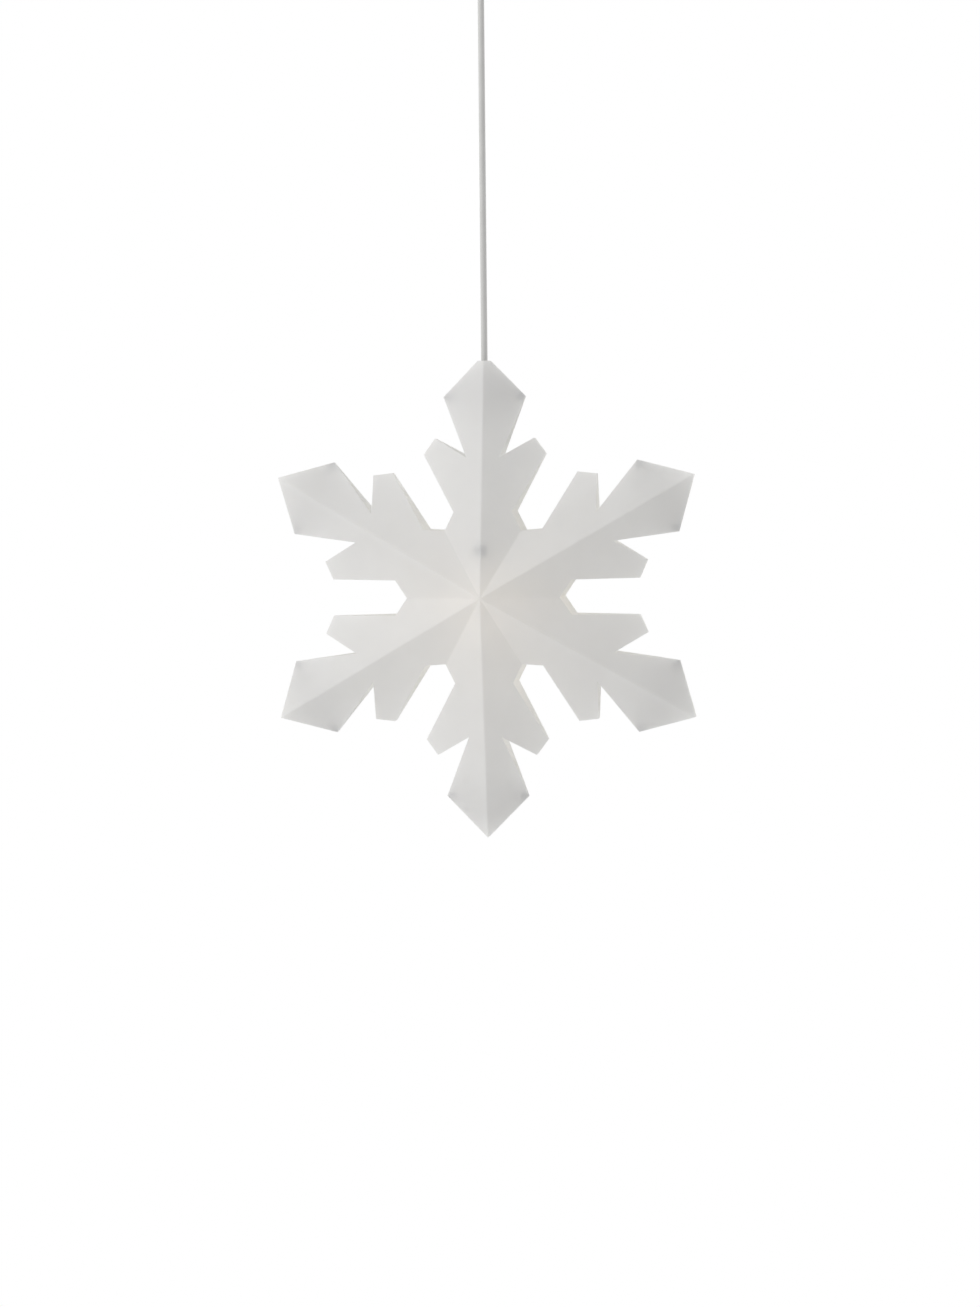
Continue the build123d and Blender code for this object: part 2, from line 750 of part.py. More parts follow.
# Terminal block: an insulating block with a channel for each clamp, screw holes below and a fixing hole
clamp_level = -strap_thickness - clamp_drop
clamp_low = clamp_level - clamp_height / 2
block_low = -strap_thickness - block_height
clamp_places = [(-clamp_pitch / 2, block_middle), (clamp_pitch / 2, block_middle)]
clamp_screw_places = [
    (side * clamp_pitch / 2, block_middle + shift * clamp_screw_spacing / 2)
    for side in (-1, 1)
    for shift in (-1, 1)
]
with BuildPart() as terminal_block:
    with BuildSketch(Plane.XY.offset(-strap_thickness)):
        with Locations((0, block_middle)):
            Rectangle(block_width, block_depth)
    extrude(amount=-block_height)
    with BuildSketch(Plane.XY.offset(clamp_low - slip)):
        with Locations(*clamp_places):
            Rectangle(clamp_width + 2 * slip, block_depth)
    extrude(amount=clamp_height + 2 * slip, mode=Mode.SUBTRACT)
    with BuildSketch(Plane.XY.offset(block_low)):
        with Locations(*clamp_screw_places):
            Circle(clamp_screw_head + slip)
    extrude(amount=clamp_low - block_low, mode=Mode.SUBTRACT)
    with BuildSketch(Plane.XY.offset(block_low)):
        with Locations((0, block_middle)):
            Circle(screw_radius + slip)
    extrude(amount=block_height, mode=Mode.SUBTRACT)
save(terminal_block, "terminal_block")

clamp_length = block_depth - 2 * clamp_inset
with BuildPart() as terminal_clamps:
    with BuildSketch(Plane.XY.offset(clamp_low)):
        with Locations(*clamp_places):
            Rectangle(clamp_width, clamp_length)
    extrude(amount=clamp_height)
    with BuildSketch(Plane.XZ.offset(-block_middle)):
        with Locations((-clamp_pitch / 2, clamp_level), (clamp_pitch / 2, clamp_level)):
            Circle(clamp_bore)
    extrude(amount=clamp_length, both=True, mode=Mode.SUBTRACT)
    with BuildSketch(Plane.XY.offset(clamp_low)):
        with Locations(*clamp_screw_places):
            Circle(clamp_screw_radius + slip)
    extrude(amount=clamp_height / 2, mode=Mode.SUBTRACT)
save(terminal_clamps, "terminal_clamps")

clamp_screw_top = clamp_level - wire_radius - slip
with BuildPart() as terminal_screws:
    with BuildSketch(Plane.XY.offset(block_low + clamp_head_inset)):
        with Locations(*clamp_screw_places):
            Circle(clamp_screw_head)
    extrude(amount=clamp_head_height)
    with BuildSketch(Plane.XY.offset(block_low + clamp_head_inset)):
        with Locations(*clamp_screw_places):
            Circle(clamp_screw_radius)
    extrude(amount=clamp_screw_top - block_low - clamp_head_inset)
    with BuildSketch(Plane.XY.offset(block_low + clamp_head_inset)):
        with Locations(*clamp_screw_places):
            Rectangle(2 * clamp_screw_head, small_slot)
    extrude(amount=small_slot, mode=Mode.SUBTRACT)
save(terminal_screws, "terminal_screws")

with BuildPart() as block_screw:
    with BuildSketch(Plane.XY.offset(block_low)):
        with Locations((0, block_middle)):
            Circle(screw_head_radius)
    extrude(amount=-screw_head_height)
    with BuildSketch(Plane.XY.offset(block_low)):
        with Locations((0, block_middle)):
            Circle(screw_radius)
    extrude(amount=block_height + strap_thickness - slip)
    with BuildSketch(Plane.XY.offset(block_low - screw_head_height)):
        with Locations((0, block_middle)):
            Rectangle(2 * screw_head_radius, screw_slot)
    extrude(amount=screw_head_height / 2, mode=Mode.SUBTRACT)
save(block_screw, "block_screw")

# Sheathed cord end and its two wires inside the cup
sheath_top = cup_floor + cup_neck_length + sheath_rise
with BuildPart() as cord_end_ceiling:
    with BuildSketch(Plane.XY.offset(mouth_top)):
        Circle(cord_radius)
    extrude(amount=sheath_top - mouth_top)
save(cord_end_ceiling, "cord_end_ceiling")

with BuildPart() as ceiling_wires:
    for side in (-1, 1):
        route = [
            (side * wire_spread, 0, sheath_top + seat),
            (
                side * (wire_spread + clamp_pitch / 2) / 2,
                -wire_back,
                sheath_top + wire_knee * (clamp_level - sheath_top),
            ),
            (side * clamp_pitch / 2, -wire_back, clamp_level),
            (side * clamp_pitch / 2, block_start + clamp_inset + wire_reach, clamp_level),
        ]
        add(wire_tube("ceiling wire", route, wire_radius))
save(ceiling_wires, "ceiling_wires")

print("free cord length", round(pivot_height - cord_low, 2))
print("carrier level", round(lamp_level(stud_level), 2), "pad base", round(pad_base, 2))
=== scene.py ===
from math import acos, atan2, ceil, cos, degrees, hypot, pi, radians, sin, sqrt, tan

import bmesh
import bpy
from bpy.props import FloatProperty, IntProperty, PointerProperty, StringProperty
from mathutils import Matrix, Vector
from mathutils.geometry import delaunay_2d_cdt


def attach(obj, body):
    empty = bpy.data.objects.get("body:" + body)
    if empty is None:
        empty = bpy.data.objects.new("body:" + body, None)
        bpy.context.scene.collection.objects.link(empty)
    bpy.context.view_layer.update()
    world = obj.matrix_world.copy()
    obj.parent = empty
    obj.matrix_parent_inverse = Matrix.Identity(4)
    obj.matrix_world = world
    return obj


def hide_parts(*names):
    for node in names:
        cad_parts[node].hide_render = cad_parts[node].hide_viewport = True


bl_info = {
    "name": "Pleated Pendant Lamp",
    "version": (1, 0, 0),
    "blender": (4, 5, 0),
    "location": "3D Viewport > Sidebar > Pendant",
    "description": "Dresses a folded snowflake pendant: foil sheets, cord, lamp holder, bulb and ceiling cup",
    "category": "Object",
}

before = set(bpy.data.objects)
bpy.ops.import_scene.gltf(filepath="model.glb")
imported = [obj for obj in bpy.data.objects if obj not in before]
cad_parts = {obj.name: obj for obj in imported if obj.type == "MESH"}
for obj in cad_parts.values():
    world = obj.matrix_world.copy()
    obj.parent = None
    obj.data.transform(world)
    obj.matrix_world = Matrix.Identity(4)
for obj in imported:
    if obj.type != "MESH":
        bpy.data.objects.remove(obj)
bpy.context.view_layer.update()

# Sizes are in millimetres, and the stage's in metres. Levels count from the ceiling plane at zero, and
# heights from the middle of the lamp.
MM = 0.001
LAMP_LEVEL = -630.0
SLIP = 0.1

# One facet of a sheet: its corners as (along the arm, sideways)
ARMS = 6
RIDGE_ANGLE = radians(11.2)
SECTOR = radians(30)
ARM_LENGTH = 223.4
CORNER = (184.9, 38.4)
NOTCH = (129.0, 15.2)
FORK_TIP = (146.6, 46.0)
FORK_HEEL = (132.0, 56.8)
WAIST = (78.9, 26.8)
VALLEY_END = 70.8
TIP_OPENING = 11.0
SEAM_GAP = 0.3
SHEET = 0.5

# Fall of the folds: a flat sheet keeps the angle between its ridges and valleys when it folds
VALLEY_ANGLE = atan2(sin(RIDGE_ANGLE), cos(RIDGE_ANGLE) * cos(SECTOR)) + acos(
    cos(SECTOR) / hypot(cos(RIDGE_ANGLE) * cos(SECTOR), sin(RIDGE_ANGLE))
)
RIDGE_FALL = tan(RIDGE_ANGLE)
SIDE_FALL = (tan(VALLEY_ANGLE) - cos(SECTOR) * RIDGE_FALL) / sin(SECTOR)
VALLEY_RISE = SIDE_FALL * cos(SECTOR) - RIDGE_FALL * sin(SECTOR)
SHEET_DEPTH = SHEET * sqrt(1 + RIDGE_FALL**2 + SIDE_FALL**2)
APEX = RIDGE_FALL * CORNER[0] + SIDE_FALL * CORNER[1] + SEAM_GAP / 2 + SHEET_DEPTH

# Rounding of the folds, in crease radii, and the width of their whiter line
RIDGE_ROUND = 0.5
VALLEY_ROUND = 0.9
FOLD_LINE = 2.2

# Bow of a facet: how far it fades in beside a fold, where it ends, and the long waves in it
BOW_FADE = 14.0
BOW_END = 185.0
WAVE_LENGTH = 150.0
WAVE_SHARE = 0.4
ARM_PHASE = 0.9
HALF_PHASE = 0.5
SHEET_PHASE = 0.4

# Points of a facet: their pitch on its edges, their rows beside the folds, and the grid between
EDGE_PITCH = 3.0
FOLD_ROWS = (0.3, 0.7, 1.2, 2.0, 3.5)
GRID_START = (6.0, 2.0)
GRID_PITCH = (4.2, 4.0)
EDGE_CLEARANCE = 0.25
WELD = 0.04

# Cord, from the lamp holder's grip up to the cup's: its ends, the gap at its lower end and points between
CORD_LOW = -530.0
CORD_HIGH = -66.0
CORD_END_GAP = 0.03
CORD_POINTS = (-420.0, -298.0, -176.0)

# Cord grips, with margins as the plain lengths at the lower and the upper end
GRIP_BORE = 3.05
GRIP_MOUTH = 3.3
GRIP_EDGE = 1.5
GRIP_EASE = 0.4
GRIP_RIBS = 24
GRIP_RIB_DEPTH = 0.28
GRIP_RIB_MARGINS = (2.0, 0.8)
GRIP_NECK = 4.9
GRIP_THREAD_PITCH = 1.0
GRIP_THREAD_DEPTH = 0.35
GRIP_THREAD_MARGINS = (0.5, 0.2)
GRIP_HOLE = 1.6
GRIP_HOLE_REACH = 4.0
HOLDER_GRIP_RADIUS = 6.5
HOLDER_GRIP_LENGTH = 16.0
HOLDER_GRIP_NECK = 6.0
CUP_GRIP_RADIUS = 7.0
CUP_GRIP_NECK = 8.5

# Screw cap of the bulb and the shell that it screws into
SCREW_PITCH = 2.82
CAP_RADIUS = 6.95
CAP_INNER = 6.57
CAP_LOW = 31.8
CAP_HIGH = 49.98
CAP_THREAD = (34.6, 48.6)
CAP_THREAD_DEPTH = 0.32
SHELL_WALL = 0.4
SHELL_LENGTH = 16.0
SHELL_THREAD_DEPTH = 0.3
SHELL_PLAIN_END = 0.8

# Lamp holder, with lead, edge and step as (inwards, along the axis) and the bell's points as (radius, height)
HOLDER_RADIUS = 14.0
HOLDER_BORE = 11.3
MOUTH_HEIGHT = 34.0
MOUTH_CHAMFER = 0.6
MOUTH_RADIUS = 13.0
MOUTH_THREAD = (34.7, 42.5)
MOUTH_THREAD_PITCH = 1.5
MOUTH_THREAD_DEPTH = 0.5
FLANGE_RADIUS = 17.0
FLANGE_LOW = 44.0
FLANGE_HIGH = 46.0
STEP_HEIGHT = 63.0
NECK_RADIUS = 12.4
NECK_HIGH = 69.0
LEDGE_RADIUS = 7.75
LEDGE_LOW = 50.6
LEDGE_HIGH = 52.6
FLUTES = 16
FLUTE_DEPTH = 0.35
FLUTE_ENDS = (47.5, 62.0)
RING_LOW = 36.5
RING_HIGH = 42.5
RING_GRIP_RADIUS = 16.9
RING_LEAD = (1.0, 0.8)
RING_COLLAR = 1.1
RING_SLOPE = 0.2
RING_EDGE = (0.3, 0.1)
RING_RIB_DEPTH = 0.55
ROOF_RADIUS = 8.0
ROOF_HIGH = 84.0
ROOF_THICKNESS = 2.0
BELL_WALL = 1.8
BELL_POINTS = ((13.7, 71.6), (13.0, 74.6), (11.6, 78.0), (9.9, 81.3))
SKIRT_RADIUS = 12.6
SKIRT_GAP = 0.05
SKIRT_STEP = (1.4, 1.0)
SHELL_RECESS = 5.0

# Bulb: the globe, cut off at its rim, and the collar from there to the screw cap
GLOBE_RADIUS = 22.5
GLOBE_WALL = 1.0
GLOBE_CUT = 14.0
SHOULDER_RADIUS = 8.2
SHOULDER_LENGTH = 1.5
COLLAR_WALL = 1.2
COLLAR_WAIST = (10.7, 25.8)
COLLAR_NECK = 6.5
COLLAR_NECK_LENGTH = 4.0
COLLAR_THROAT = 3.0
BOARD_SEAT = 13.0
BOARD_THICKNESS = 1.6
COLLAR_FINS = 36
FIN_DEPTH = 0.3
FIN_ENDS = (16.0, 27.0)
FIN_LEAST_RADIUS = 9.6

# Ceiling cup
CUP_RADIUS = 45.0
CUP_WALL = 2.0
CUP_CORNER = 14.0
CUP_FLOOR = -50.5
CUP_RIM = -0.5
CUP_CHAMFER = 0.6
SIDE_HOLE = 1.7
SIDE_HOLE_LEVEL = -10.0
SIDE_HOLE_LENGTH = 8.0

# Stage, in metres: the camera's and the lamps' places, the floor, and where the backdrop begins and ends
CAMERA_RIGHT = 0.00264
CAMERA_DOWN = 0.0527
CAMERA_CLIP_END = 60.0
KEY_LAMP_PLACE = (-1.7, -1.1, 0.9)
SIDE_LAMP_PLACE = (-2.3, -1.2, -1.0)
STUDIO_LAMP_SIZE = 1.0
FLOOR_LEVEL = -2.0
FLOOR_RADIUS = 2.4
FLOOR_FADE = (1.2, 2.35)
BACKDROP_FADE = (-0.2, 0.45)


# Settings


class FoilSettings(bpy.types.PropertyGroup):
    colour: StringProperty(name="Colour", description="sRGB hex of the foil", default="EBEAE7")
    crease_radius: FloatProperty(
        name="Crease radius", description="Rounding of the folds, in millimetres", default=0.25, min=0.1
    )
    bow: FloatProperty(
        name="Bow", description="How far a facet stands off its plane, in millimetres", default=0.35, min=0
    )
    see_through: FloatProperty(
        name="Light let through", description="Share of light that the foil scatters through",
        default=0.85, min=0, max=1, subtype="FACTOR",
    )


class CordSettings(bpy.types.PropertyGroup):
    colour: StringProperty(name="Colour", description="sRGB hex of the cord's sheath", default="CECECC")
    diameter: FloatProperty(
        name="Diameter", description="Outside diameter of the cord", default=0.006, unit="LENGTH"
    )


class HolderSettings(bpy.types.PropertyGroup):
    colour: StringProperty(name="Colour", description="sRGB hex of the moulded holder", default="F0EFEB")
    ribs: IntProperty(name="Ribs", description="Grip ribs round the shade ring", default=24, min=8)


class BulbSettings(bpy.types.PropertyGroup):
    colour: StringProperty(name="Colour", description="sRGB hex of the opal globe", default="F4F2EC")
    glow: FloatProperty(name="Glow", description="Light that the globe gives off", default=1.2, min=0)


class CupSettings(bpy.types.PropertyGroup):
    colour: StringProperty(name="Colour", description="sRGB hex of the ceiling cup", default="EFEEEA")


class StageSettings(bpy.types.PropertyGroup):
    azimuth: FloatProperty(
        name="Azimuth", description="Camera's turn round the lamp", default=radians(7.06), subtype="ANGLE"
    )
    elevation: FloatProperty(
        name="Elevation", description="Camera's height angle", default=radians(2.9), subtype="ANGLE"
    )
    roll: FloatProperty(name="Roll", description="Camera's roll", default=radians(-0.55), subtype="ANGLE")
    distance: FloatProperty(
        name="Distance", description="Camera to the middle of the lamp", default=3.830, unit="LENGTH"
    )
    lens: FloatProperty(name="Lens", description="Focal length in millimetres", default=113.92)
    key: FloatProperty(name="Key lamp", description="Power of the upper left lamp, in watts", default=18)
    side: FloatProperty(name="Side lamp", description="Power of the lower left lamp, in watts", default=6)
    ambient: FloatProperty(name="Ambient", description="Even light from the front", default=0.56)
    backdrop: FloatProperty(name="Backdrop", description="Even light from behind", default=1.1)


def settings():
    """The pendant's settings in the scene."""
    return bpy.context.scene.pendant


# Shader nodes

# Nearly all of a noise texture's values lie between these two
NOISE_LOW = 0.3
NOISE_HIGH = 0.7


def linear(code):
    """Linear colour from an sRGB hex code."""
    channels = [int(code[i : i + 2], 16) / 255 for i in (0, 2, 4)]
    return tuple(c / 12.92 if c <= 0.04045 else ((c + 0.055) / 1.055) ** 2.4 for c in channels) + (1.0,)


def node(tree, kind, inputs=None, **fields):
    """Adds a shader node, sets its fields, and sets or links its inputs."""
    made = tree.nodes.new(kind)
    for field, value in fields.items():
        setattr(made, field, value)
    for socket, value in (inputs or {}).items():
        if isinstance(value, bpy.types.NodeSocket):
            tree.links.new(value, made.inputs[socket])
        else:
            made.inputs[socket].default_value = value
    return made


def mottle(tree, colour, spot, patch, detail=3.0):
    """Two close shades of one colour, in soft patches of a size in millimetres."""
    place = node(tree, "ShaderNodeTexCoord").outputs["Object"]
    noise = node(tree, "ShaderNodeTexNoise", {"Vector": place, "Scale": 1000 / patch, "Detail": detail})
    ramp = node(tree, "ShaderNodeValToRGB", {"Fac": noise.outputs["Fac"]})
    low, high = ramp.color_ramp.elements
    low.position = NOISE_LOW
    low.color = linear(colour)
    high.position = NOISE_HIGH
    high.color = linear(spot)
    return ramp.outputs["Color"]


def grain(tree, relief, height, strength=0.5):
    """Fine relief of a size in millimetres and a height in millimetres."""
    place = node(tree, "ShaderNodeTexCoord").outputs["Object"]
    noise = node(tree, "ShaderNodeTexNoise", {"Vector": place, "Scale": 1000 / relief, "Detail": 2.0})
    bump = node(
        tree,
        "ShaderNodeBump",
        {"Height": noise.outputs["Fac"], "Strength": strength, "Distance": height * MM},
    )
    return bump.outputs["Normal"]


def roughness_spread(tree, low, high, patch):
    """Roughness that varies between two values in patches of a size in millimetres."""
    place = node(tree, "ShaderNodeTexCoord").outputs["Object"]
    noise = node(tree, "ShaderNodeTexNoise", {"Vector": place, "Scale": 1000 / patch, "Detail": 2.0})
    ends = {"From Min": NOISE_LOW, "From Max": NOISE_HIGH, "To Min": low, "To Max": high}
    spread = node(tree, "ShaderNodeMapRange", {"Value": noise.outputs["Fac"], **ends})
    return spread.outputs["Result"]


def surface(name, colour, spot, rough, patch, relief, height, **sockets):
    """A material with two close colours, varied roughness and fine relief; sizes are in millimetres.

    Further sockets of the shader are given by name, with _ for a space.
    """
    made = bpy.data.materials.new(name)
    made.use_nodes = True
    tree = made.node_tree
    shader = tree.nodes["Principled BSDF"]
    tree.links.new(mottle(tree, colour, spot, patch), shader.inputs["Base Color"])
    tree.links.new(roughness_spread(tree, *rough, patch / 2), shader.inputs["Roughness"])
    tree.links.new(grain(tree, relief, height), shader.inputs["Normal"])
    for socket, value in sockets.items():
        shader.inputs[socket.replace("_", " ")].default_value = value
    return made


# Materials


def polypropylene_foil():
    # Polypropylene foil with a calendered matt face: an even white, hardly any gloss, light scatters through
    chosen = settings().foil
    made = bpy.data.materials.new("calendered_polypropylene_foil")
    made.use_nodes = True
    tree = made.node_tree
    shader = tree.nodes["Principled BSDF"]
    tint = mottle(tree, chosen.colour, spot="EFEEEB", patch=45.0, detail=2.0)
    # a thin line along each ridge is drawn a shade whiter than the facets beside it
    fold = node(tree, "ShaderNodeAttribute", attribute_name="fold").outputs["Fac"]
    whiter = linear("EDECE9")
    mix = node(tree, "ShaderNodeMix", {"Factor": fold, "A": tint, "B": whiter}, data_type="RGBA")
    ridge_line_colour = [socket for socket in mix.outputs if socket.type == "RGBA"][0]
    tree.links.new(ridge_line_colour, shader.inputs["Base Color"])
    tree.links.new(roughness_spread(tree, low=0.52, high=0.62, patch=30.0), shader.inputs["Roughness"])
    # a calendered matt face has a grain of about 0.1 mm; drawn at 0.8 mm so that it shows at all
    tree.links.new(grain(tree, relief=0.8, height=0.02, strength=0.25), shader.inputs["Normal"])
    shader.inputs["IOR"].default_value = 1.49
    shader.inputs["Specular IOR Level"].default_value = 0.3
    shader.inputs["Subsurface Weight"].default_value = chosen.see_through
    shader.inputs["Subsurface Radius"].default_value = (1.0, 1.0, 0.95)
    shader.inputs["Subsurface Scale"].default_value = 0.0022
    return made


def pvc_sheath():
    # PVC sheath, extruded: smooth and a little glossy, with faint waves from the wires inside
    return surface(
        "extruded_pvc_cord", settings().cord.colour, spot="D4D4D2", rough=(0.32, 0.42), patch=30.0,
        relief=12.0, height=0.05, IOR=1.53,
    )


def pvc_wire_covers():
    # PVC wire covers, glossy: brown on the left of the lamp's middle plane and blue on the right
    patch = 8.0
    made = surface(
        "extruded_pvc_wires", colour="5B3A26", spot="64422D", rough=(0.3, 0.4), patch=patch,
        relief=2.0, height=0.02, IOR=1.53,
    )
    tree = made.node_tree
    base = tree.nodes["Principled BSDF"].inputs["Base Color"]
    brown = base.links[0].from_socket
    blue = mottle(tree, colour="2F5D94", spot="3768A0", patch=patch)
    place = node(tree, "ShaderNodeTexCoord").outputs["Object"]
    across = node(tree, "ShaderNodeSeparateXYZ", {"Vector": place}).outputs["X"]
    right = node(tree, "ShaderNodeMath", {0: across, 1: 0.0}, operation="GREATER_THAN").outputs[0]
    mix = node(tree, "ShaderNodeMix", {"Factor": right, "A": brown, "B": blue}, data_type="RGBA")
    tree.links.new([socket for socket in mix.outputs if socket.type == "RGBA"][0], base)
    return made


def moulded(name, colour, spot):
    # Polyester, ABS or polyamide from a mould: even colour, satin, a faint spark-eroded texture
    return surface(
        name, colour, spot, rough=(0.34, 0.46), patch=18.0, relief=0.7, height=0.01, IOR=1.55
    )


def clear_polycarbonate():
    # Clear polycarbonate, moulded: smooth, and light passes straight through, so the foil hardly shows it
    return surface(
        "moulded_clear_polycarbonate", colour="FAFCFC", spot="FCFDFD", rough=(0.12, 0.2), patch=25.0,
        relief=2.0, height=0.01, IOR=1.585, Transmission_Weight=1.0,
    )


def grip_polyamide():
    # Polyamide 6, moulded: milky white and waxy
    return surface(
        "moulded_white_polyamide", colour="EEEDE6", spot="F1F0EA", rough=(0.4, 0.5), patch=9.0,
        relief=0.6, height=0.012, IOR=1.53,
        Subsurface_Weight=0.15, Subsurface_Radius=(1, 1, 0.9), Subsurface_Scale=0.002,
    )


def collar_polyamide():
    # Glass-filled polyamide, moulded: chalky white with a fine grain
    return surface(
        "moulded_glass_filled_polyamide", colour="EDECE8", spot="E6E5E0", rough=(0.5, 0.62), patch=10.0,
        relief=0.6, height=0.02, IOR=1.55,
    )


def opal_polycarbonate():
    # Opal polycarbonate, blown: soft gloss, light scatters inside it, and it glows faintly warm
    chosen = settings().bulb
    opal = surface(
        "blown_opal_polycarbonate", chosen.colour, spot="F7F5F0", rough=(0.28, 0.36), patch=20.0,
        relief=3.0, height=0.01, IOR=1.58,
        Subsurface_Weight=0.3, Subsurface_Radius=(1, 1, 0.9), Subsurface_Scale=0.003,
    )
    if chosen.glow > 0:
        shader = opal.node_tree.nodes["Principled BSDF"]
        shader.inputs["Emission Color"].default_value = linear("FFECD6")
        shader.inputs["Emission Strength"].default_value = chosen.glow
    return opal


def rolled_brass():
    # Brass, rolled and pressed: warm yellow metal with a soft sheen
    return bpy.data.materials.get("rolled_brass") or surface(
        "rolled_brass", colour="C9A45C", spot="BF994F", rough=(0.22, 0.34), patch=8.0,
        relief=0.4, height=0.004, Metallic=1.0,
    )


def zinc_plated_steel():
    # Steel, blue-passivated zinc plate: bright grey, slightly satin, with a cool cast
    return bpy.data.materials.get("zinc_plated_steel") or surface(
        "zinc_plated_steel", colour="B9BCC0", spot="A9ADB2", rough=(0.25, 0.38), patch=6.0,
        relief=0.3, height=0.004, Metallic=1.0,
    )


def nickel_plated_brass():
    # Brass, nickel-plated and rolled: a warm silver with a clear shine
    return surface(
        "nickel_plated_brass", colour="C9C6BE", spot="BDB9AF", rough=(0.16, 0.28), patch=5.0,
        relief=0.3, height=0.003, Metallic=1.0,
    )


def tinned_contact():
    # Solder, melted on: dull grey metal with an uneven skin
    return surface(
        "tinned_contact", colour="C4C4C2", spot="B5B5B4", rough=(0.3, 0.45), patch=3.0,
        relief=0.5, height=0.02, Metallic=1.0,
    )


def fired_steatite():
    # Steatite ceramic, pressed and fired: ivory, dull, with a fine gritty face
    return surface(
        "fired_steatite", colour="EDE8DC", spot="E6E0D2", rough=(0.45, 0.6), patch=6.0,
        relief=0.5, height=0.015, IOR=1.6,
    )


def black_cap_glass():
    # Opaque glass of a screw cap, pressed hot: glossy, almost black
    return surface(
        "black_cap_glass", colour="1B1A19", spot="242322", rough=(0.12, 0.22), patch=4.0,
        relief=1.0, height=0.01, IOR=1.52,
    )


def solder_mask_board():
    # Circuit board under white solder mask: flat, cool white lacquer
    return surface(
        "white_solder_mask_board", colour="E9EBE6", spot="E2E5DF", rough=(0.4, 0.5), patch=6.0,
        relief=0.4, height=0.008, IOR=1.5,
    )


def glass_epoxy_board():
    # Glass epoxy circuit board: green lacquer with the glass cloth's faint relief
    return surface(
        "glass_epoxy_board", colour="3F6B4C", spot="477555", rough=(0.4, 0.55), patch=4.0,
        relief=0.5, height=0.01, IOR=1.5,
    )


def floor_paint():
    # Matt floor paint, rolled: pale grey, fading out at the disc's edge so that no edge shows
    paint = bpy.data.materials.new("pale_matt_floor")
    paint.use_nodes = True
    tree = paint.node_tree
    shader = tree.nodes["Principled BSDF"]
    shader.inputs["Base Color"].default_value = linear("F2F2F2")
    shader.inputs["Roughness"].default_value = 0.8
    place = node(tree, "ShaderNodeTexCoord").outputs["Object"]
    reach = node(tree, "ShaderNodeVectorMath", {0: place}, operation="LENGTH").outputs["Value"]
    fade = node(
        tree,
        "ShaderNodeMapRange",
        {"Value": reach, "From Min": FLOOR_FADE[0], "From Max": FLOOR_FADE[1]},
        interpolation_type="SMOOTHSTEP",
    )
    clear = node(tree, "ShaderNodeBsdfTransparent")
    soft = node(
        tree,
        "ShaderNodeMixShader",
        {0: fade.outputs["Result"], 1: shader.outputs[0], 2: clear.outputs[0]},
    )
    tree.links.new(soft.outputs[0], tree.nodes["Material Output"].inputs["Surface"])
    return paint


# Mesh helpers

# Rounding of a profile's corners: the least turn that is rounded, the most turn between two points of an
# arc, and the largest share that an arc takes of a stretch
EASE_LEAST_TURN = radians(12)
EASE_STEP = radians(24)
EASE_SHARE = 0.4

# Shorter lengths don't count
HAIR = 0.01


def mesh_of(work, name):
    """A new mesh with what a bmesh holds."""
    mesh = bpy.data.meshes.new(name)
    work.to_mesh(mesh)
    work.free()
    return mesh


def finished(name, mesh, material, body, replaced, sharp=35):
    """An object with a mesh and a material that rides on a body and stands for a CAD node."""
    mesh.validate()
    mesh.shade_smooth()
    mesh.set_sharp_from_angle(angle=radians(sharp))
    mesh.materials.clear()
    mesh.materials.append(material)
    made = bpy.data.objects.new(name, mesh)
    bpy.context.scene.collection.objects.link(made)
    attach(made, body)
    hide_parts(replaced)
    return made


def dress(material, *nodes):
    """Gives CAD nodes a material."""
    for name in nodes:
        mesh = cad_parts[name].data
        mesh.materials.clear()
        mesh.materials.append(material)


def eased(points, radius):
    """The points of a closed profile, with each corner rounded by an arc of at most a radius."""
    rounded = []
    for index, here in enumerate(points):
        p = Vector(here)
        back = Vector(points[index - 1]) - p
        ahead = Vector(points[(index + 1) % len(points)]) - p
        turn = pi - back.angle(ahead)
        reach = min(radius * tan(turn / 2), EASE_SHARE * min(back.length, ahead.length))
        if turn < EASE_LEAST_TURN or reach < HAIR:
            rounded.append(here)
            continue
        start = p + back.normalized() * reach
        end = p + ahead.normalized() * reach
        steps = max(2, ceil(turn / EASE_STEP))
        for step in range(steps + 1):
            t = step / steps
            q = start * (1 - t) ** 2 + p * (2 * t * (1 - t)) + end * t**2
            rounded.append((q.x, q.y))
    return rounded


def arc(centre, radius, start, end, steps):
    """Points of an arc in a profile, from one angle to another in degrees."""
    swing = [radians(start + (end - start) * i / steps) for i in range(steps + 1)]
    return [(centre[0] + radius * cos(t), centre[1] + radius * sin(t)) for t in swing]


def refined(points, low, high, pitch):
    """The profile with points at every pitch on the stretches that lie between two levels."""
    dense = []
    for here, after in zip(points, points[1:] + points[:1]):
        dense.append(here)
        rise = after[1] - here[1]
        within = low - HAIR <= min(here[1], after[1]) and max(here[1], after[1]) <= high + HAIR
        if abs(rise) > 2 * pitch and within:
            count = ceil(abs(rise) / pitch)
            for step in range(1, count):
                t = step / count
                dense.append((here[0] + (after[0] - here[0]) * t, here[1] + rise * t))
    return dense


